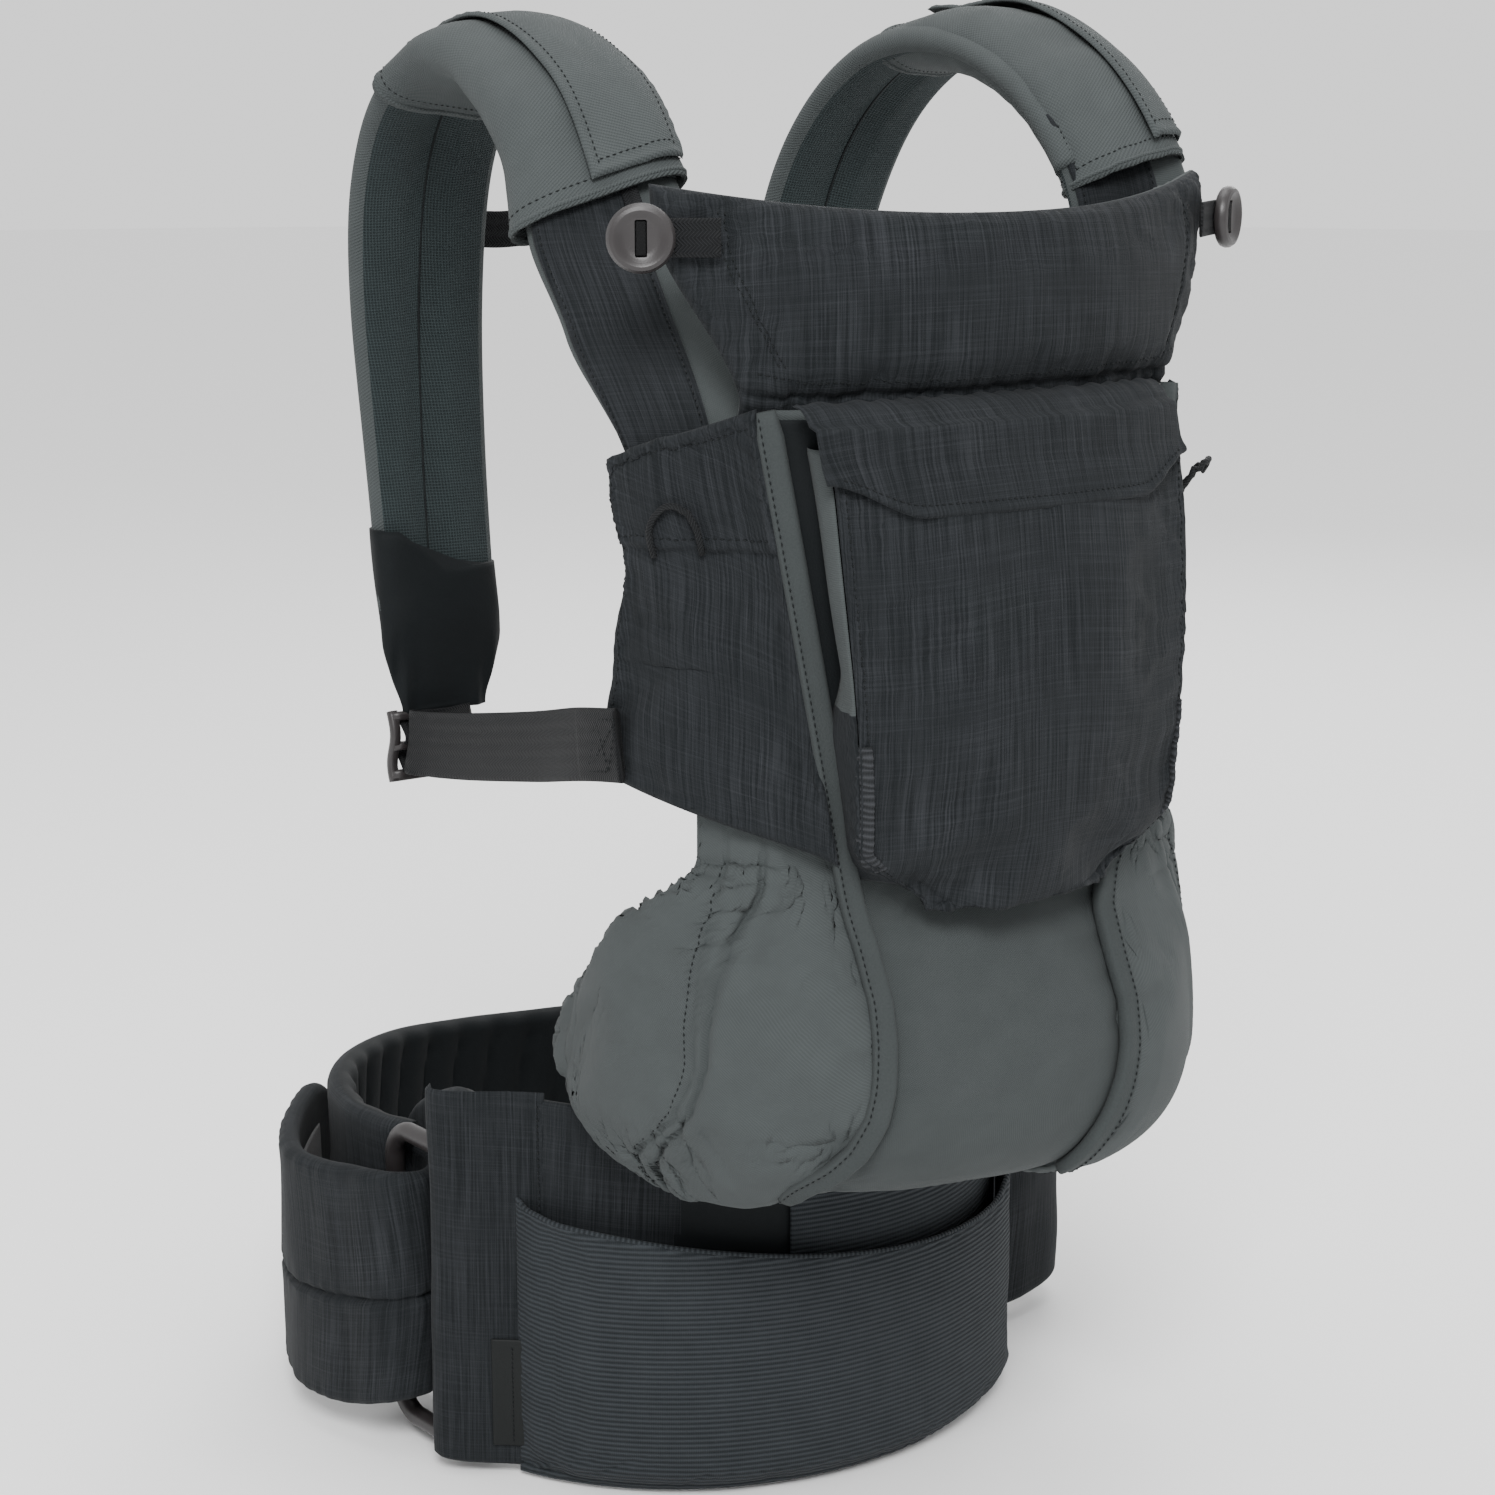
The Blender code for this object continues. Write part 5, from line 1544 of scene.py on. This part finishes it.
# ---------------------------------------------------------------- waist belt
WING_ROUTE = [(0.088, -0.1260, 0), (0.1120, -0.1100, 0), (0.1400, -0.1030, 0), (0.1720, -0.1010, 0),
              (0.2010, -0.0900, 0), (0.2080, -0.0600, 0), (0.2020, -0.0150, 0), (0.1850, 0.0330, 0),
              (0.1560, 0.0800, 0), (0.1130, 0.1230, 0), (0.0580, 0.1530, 0), (0.0000, 0.1600, 0),
              (-0.0520, 0.1530, 0), (-0.0980, 0.1350, 0), (-0.1400, 0.1010, 0), (-0.1690, 0.0600, 0),
              (-0.1820, 0.0200, 0), (-0.1790, -0.0100, 0), (-0.1715, -0.0300, 0)]
BELT_SEAM_Z = -0.004
WING_LENGTH = 0.78         # roughly, for the rounding of its end
WING_CHANNEL = 0.026
FRONT_CHANNEL = 0.030
PAD_START = math.radians(-93)
PAD_END = math.radians(60)
PAD_RADIUS = 0.15          # roughly, to turn its angles into lengths
PAD_TAIL = 0.055           # how far the front pad runs on behind the ring


def wing_z(turn, v):
    """Height across the wing: hanging low at the right front, tall at the left."""
    bottom = mix(-0.098, -0.088, ease(turn / 0.3))
    bottom = mix(bottom, -0.070, ease((turn - 0.6) / 0.3))
    top = mix(0.026, 0.036, ease(turn / 0.4))
    top = mix(top, 0.062, ease((turn - 0.55) / 0.3))
    return mix(bottom, top, v)


def channels(cloth, pitch, depth):
    """Sewn channels up the padding, fading out at its border."""
    from_line = pitch / 2 - np.abs((cloth.from_left / pitch) % 1.0 - 0.5) * pitch
    return ridge(from_line, 0.0022, depth) * ease((cloth.edge - 0.006) / 0.010)


def rounded(distance, radius):
    """How far a rounded corner draws its edge in, at a distance from the end."""
    t = min(max(distance / radius, 0.0), 1.0)
    return radius * (1 - math.sqrt(1 - (1 - t) ** 2))


def make_wing():
    """Padded wing round the back: sewn across its height, channelled on its lined inner face."""
    route = smooth_path(WING_ROUTE, 240)

    def wing(u, v):
        place = on_route(route, u)
        middle = wing_z(u, 0.5)
        z = wing_z(u, v)
        inset = rounded(u * WING_LENGTH, 0.018)
        half = abs(wing_z(u, 1.0) - middle)
        return Vector((place.x, place.y, middle + (z - middle) * (half - inset) / half))
    cloth = Cloth(wing, 240, 44, INSIDE_BELT, (0.25, 0.7))
    heights = cloth.grid[..., 2]
    outer = groove(heights - BELT_SEAM_Z, 0.0028, 0.0042) + rumple(cloth.grid, 0.035, 0.0016, 51)
    outer += pucker(heights - BELT_SEAM_Z, cloth.from_left, 0.012, 0.010, 0.0005, 2)
    inner = 0.0072 - channels(cloth, WING_CHANNEL, 0.0034)
    inner -= 0.0012 * np.cos(2 * math.pi * cloth.from_left / WING_CHANNEL)
    obj = cloth.solid("belt_wing_pad", 0.0070 + outer, inner, 0.0065, [HEATHER, LINING])
    belongs(obj, "carrier", "dark_heather", "belt_wing_cover", "belt_wing_foam", "belt_wing_lining",
            fill=0.7)


def make_belt_front():
    """Outer face of the belt's front: heather at the left end, dark lining behind the pocket."""
    def front(u, v):
        angle = mix(math.radians(-71), PAD_END, u)
        top = BELT_HIGH_Z - 0.050 * ease((angle - 0.2) / 0.8)
        return belt_front(angle, 0.0012, mix(BELT_LOW_Z + 0.005 * ease(abs(angle) / 1.3), top, v))
    cloth = Cloth(front, 110, 50, INSIDE_BELT, (0.3, 0.5))
    angle = np.arctan2(cloth.grid[..., 0] - BELT_CENTRE[0], BELT_CENTRE[1] - cloth.grid[..., 1])
    seam = np.abs(cloth.grid[..., 2] - 0.0790)
    folds = rumple(cloth.grid, 0.040, 0.0013, 53, (1, 1, 0.7))
    folds += groove(seam, 0.0014, 0.0012) * ease((-0.62 - angle) / 0.05)
    folds += ridge(cloth.to_top - 0.0030, 0.0024, 0.0009)

    def pick(centre, kind):
        turn = math.atan2(centre.x - BELT_CENTRE[0], BELT_CENTRE[1] - centre.y)
        return 1 if kind or turn > -0.66 + (centre.z - 0.05) * 0.9 else 0
    obj = cloth.solid("belt_front_cloth", 0.0010 + folds, 0.0008, 0.0018, [HEATHER, LINING], pick)
    belongs(obj, "carrier", "dark_heather", "belt_front_panel")
    as_sheet(cloth)

    def pad(u, v):
        turn = mix(PAD_START - PAD_TAIL / PAD_RADIUS, PAD_END, u)
        angle = max(turn, PAD_START)
        past = (angle - turn) * PAD_RADIUS
        inward = 0.007 * ease((math.radians(-77) - angle) / math.radians(9))
        inset = rounded((turn - PAD_START) * PAD_RADIUS + PAD_TAIL, 0.022)
        inset += rounded((PAD_END - angle) * PAD_RADIUS, 0.012)
        top = BELT_HIGH_Z - 0.003 - 0.050 * ease((angle - 0.2) / 0.8)
        top -= 0.012 * ease((math.radians(-68) - angle) / 0.3) + 0.018 * ease(past / PAD_TAIL)
        bottom = BELT_LOW_Z + 0.003 + 0.005 * ease(abs(angle) / 1.3)
        z = mix(bottom + inset, top - inset, v)
        return belt_front(angle, -0.0072 - inward, z) + Vector((-0.05, 1.0, 0.0)) * past
    cloth = Cloth(pad, 150, 44, INSIDE_BELT, (0.35, 0.6))
    inner = 0.0062 - channels(cloth, FRONT_CHANNEL, 0.0030)
    obj = cloth.solid("belt_front_pad", 0.0060, inner, 0.0060, [HEATHER, LINING])
    belongs(obj, "carrier", "black_lining", "belt_front_foam", "belt_front_lining", fill=0.6)


def make_belt_strip():
    """Full-height heather strip sewn over the ring's front bar, with its hemmed free edge."""
    route = smooth_path([(-0.1500, -0.1270, 0), (-0.1570, -0.1205, 0), (-0.1665, -0.1130, 0),
                         (-0.1765, -0.1065, 0), (-0.1860, -0.0990, 0), (-0.1915, -0.0925, 0),
                         (-0.1925, -0.0870, 0), (-0.1895, -0.0830, 0)], 60)

    def strip(u, v):
        place = on_route(route, u)
        return Vector((place.x, place.y, mix(BELT_LOW_Z + 0.003 + 0.004 * u, BELT_HIGH_Z + 0.004, v)))
    cloth = Cloth(strip, 60, 70, (-0.15, -0.06, 0.0), (0.4, 0.4))
    folds = rumple(cloth.grid, 0.030, 0.0013, 57, (1, 1, 0.6))
    folds += pucker(cloth.from_left, cloth.from_low, 0.010, 0.008, 0.0004, 3)
    folds += groove(cloth.from_left - 0.0065, 0.0012, 0.0008)
    obj = cloth.solid("belt_strip_cloth", 0.0011 + folds, 0.0010, 0.0018, [HEATHER])
    make_label(cloth)
    belongs(obj, "carrier", "dark_heather", "belt_ring_tab")
    as_sheet(cloth)
    sew("carrier", cloth.line((0.05, 0.02), (0.05, 0.98), 70))
    low_z, high_z = BELT_LOW_Z + 0.030, BELT_HIGH_Z - 0.050
    loop = smooth_path([(-0.1660, -0.0975, 0), (-0.1720, -0.0830, 0), (-0.1790, -0.0795, 0),
                        (-0.1860, -0.0840, 0), (-0.1865, -0.0900, 0), (-0.1790, -0.0965, 0),
                        (-0.1680, -0.1010, 0)], 30)
    middle = (low_z + high_z) / 2
    path = [Vector((p.x, p.y, middle)) for p in loop]
    obj = ribbon("ring_loop_web", path, (0, 0, 1), high_z - low_z, 0.0022, WEB, 8.0, 16)
    belongs(obj, "carrier", "webbing")


def make_ring():
    """Moulded rod ring between the strip and the wing's fold."""
    box_low, box_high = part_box("belt_ring")
    rod = 0.0050
    corner = 0.016
    front = Vector((-0.1800, -0.0880, 0))
    rear = Vector((-0.1850, -0.0340, 0))
    along = (rear - front).normalized()
    width = (rear - front).length
    top = box_high.z - rod - corner
    bottom = box_low.z + rod + corner
    points = []
    for start, u, z in ((90, width - corner, top), (0, width - corner, bottom),
                        (-90, corner, bottom), (-180, corner, top)):
        for k in range(13):
            angle = math.radians(start - 7.5 * k)
            point = front + along * (u + corner * math.cos(angle))
            point.z = z + corner * math.sin(angle)
            points.append(point)
    obj = tube("belt_ring_rod", points, rod, PLASTIC, 18, closed=True)
    belongs(obj, "carrier", "acetal", "belt_ring")


def make_tail():
    """The wing's end turned round the ring and laid back outside."""
    route = smooth_path([(-0.1716, -0.0290, 0), (-0.1705, -0.0430, 0), (-0.1740, -0.0550, 0),
                         (-0.1860, -0.0640, 0), (-0.1990, -0.0600, 0), (-0.2070, -0.0490, 0),
                         (-0.2110, -0.0360, 0), (-0.2165, -0.0180, 0), (-0.2195, 0.0080, 0),
                         (-0.2110, 0.0360, 0), (-0.1940, 0.0660, 0), (-0.1740, 0.0910, 0),
                         (-0.1540, 0.1110, 0)], 150)

    def wrap(u, v):
        place = on_route(route, u)
        half = mix(0.0600, 0.0655, ease((u - 0.20) / 0.35))
        middle = mix(-0.0110, -0.0200, ease((u - 0.25) / 0.45))
        half -= rounded((1 - u) * 0.25, 0.020)
        return Vector((place.x, place.y, middle + mix(-half, half, v)))
    cloth = Cloth(wrap, 150, 110, (-0.17, 0.01, 0.0), (0.2, 0.6))
    height = cloth.grid[..., 2] - (-0.014 - 0.014 * ease(cloth.from_left / 0.16))
    outer = groove(height, 0.0015, 0.0038) + pucker(height, cloth.from_left, 0.011, 0.009, 0.0004, 1)
    outer += rumple(cloth.grid, 0.030, 0.0014, 61, (1, 1, 0.6))
    outer += pucker(np.minimum(cloth.from_low, cloth.to_top), cloth.from_left, 0.012, 0.009, 0.0005, 7)
    thin = mix(0.62, 1.0, ease((cloth.from_left - 0.005) / 0.05))
    obj = cloth.solid("belt_tail_wrap", 0.0056 * thin + outer, 0.0052 * thin, 0.0056, [HEATHER])
    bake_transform(obj)
    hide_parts("belt_fold", "belt_tail")

    def patch(u, v):
        place, normal = cloth.at(mix(0.60, 0.92, u), mix(0.20, 0.84, v))
        return place - normal * 0.0116
    layer = Cloth(patch, 24, 24, (-0.30, 0.02, 0.0))
    obj = layer.solid("tail_hook_tape", 0.0008, 0.0008, 0.0010, [HOOK])
    belongs(obj, "belt_tail", "hook_tape", "tail_hook_patch")
    as_sheet(layer)


def make_belt_pockets():
    """Ribbed stretch pocket over the belt's front, and the divider that stands behind it."""
    def divider(u, v):
        angle = mix(math.radians(-15), math.radians(56), u)
        top = 0.052 - 0.010 * u
        gap = 0.0020 * ease(v) * math.sin(math.pi * min(u * 1.3, 1.0))
        return belt_front(angle, 0.0042 + gap, mix(-0.060, top, v))
    cloth = Cloth(divider, 60, 30, INSIDE_BELT)
    rolled = ridge(cloth.to_top - 0.0025, 0.0020, 0.0008)
    obj = cloth.solid("belt_divider_knit", 0.0007 + rolled, 0.0007, 0.0012, [RIBBED])
    belongs(obj, "carrier", "stretch_knit", "belt_pocket_divider")
    as_sheet(cloth)

    def stretch(u, v):
        angle = mix(math.radians(-67), math.radians(58), u)
        edge = min(ease(u / 0.10), ease((1 - u) / 0.10), ease(v / 0.10))
        top = mix(0.044, 0.018, ease(u * 1.2)) - 0.007 * math.sin(math.pi * u)
        top += 0.020 * ease((u - 0.80) / 0.2) + 0.004 * ease((0.03 - u) / 0.03)
        return belt_front(angle, mix(0.0066, 0.0150, edge), mix(BELT_LOW_Z + 0.0008, top, v))
    cloth = Cloth(stretch, 130, 76, INSIDE_BELT, (0.5, 0.6))
    cloth.settle(0.8, 0.006, 0.0015)
    slant = (cloth.from_left - 0.006) * 0.36 - (cloth.from_low - 0.006)
    folds = groove(slant, 0.0012, 0.0010) * ease((0.052 - cloth.from_left) / 0.01)
    folds += rumple(cloth.grid, 0.06, 0.0010, 71)
    folds += groove(cloth.from_low - 0.0050, 0.0014, 0.0010)
    rolled = ridge(cloth.to_top - 0.0022, 0.0018, 0.0007)
    obj = cloth.solid("belt_pocket_knit", 0.0009 + folds + rolled, 0.0008, 0.0018, [RIBBED])
    belongs(obj, "carrier", "stretch_knit", "belt_stretch_pocket")
    as_sheet(cloth)
    hem = [cloth.at(mix(0.012, 0.988, k / 100), 0.994, -0.0004)[0] for k in range(101)]
    obj = tube("belt_pocket_hem", hem, 0.0013, RIBBED, 8)
    belongs(obj, "carrier", "stretch_knit")


def make_label(strip):
    """Small blank woven label on the strip, beside the stretch pocket."""
    def patch(u, v):
        return strip.at(mix(0.37, 0.12, u), mix(0.055, 0.345, v), 0.0009)[0]
    cloth = Cloth(patch, 16, 30, INSIDE_BELT)
    obj = cloth.solid("side_label_woven", 0.0007, 0.0005, 0.0010, [LABEL])
    belongs(obj, "carrier", "label", "side_label")
    as_sheet(cloth)
    sew("carrier", cloth.line((0.5, 0.03), (0.5, 0.97), 20), 0.0026)


# ---------------------------------------------------------------- make everything
make_body_panels()
make_seat_floor()
for side_name, side_sign in SIDES:
    make_seat_pad(side_name, side_sign)
    make_binding(side_name, side_sign)
    make_side_panel(side_name, side_sign)
make_pocket()
make_headrest()
for side_name, side_sign in SIDES:
    make_strap(side_name, side_sign)
make_cross_strap()
make_wing()
make_belt_front()
make_belt_strip()
make_ring()
make_tail()
make_belt_pockets()
make_stitches()
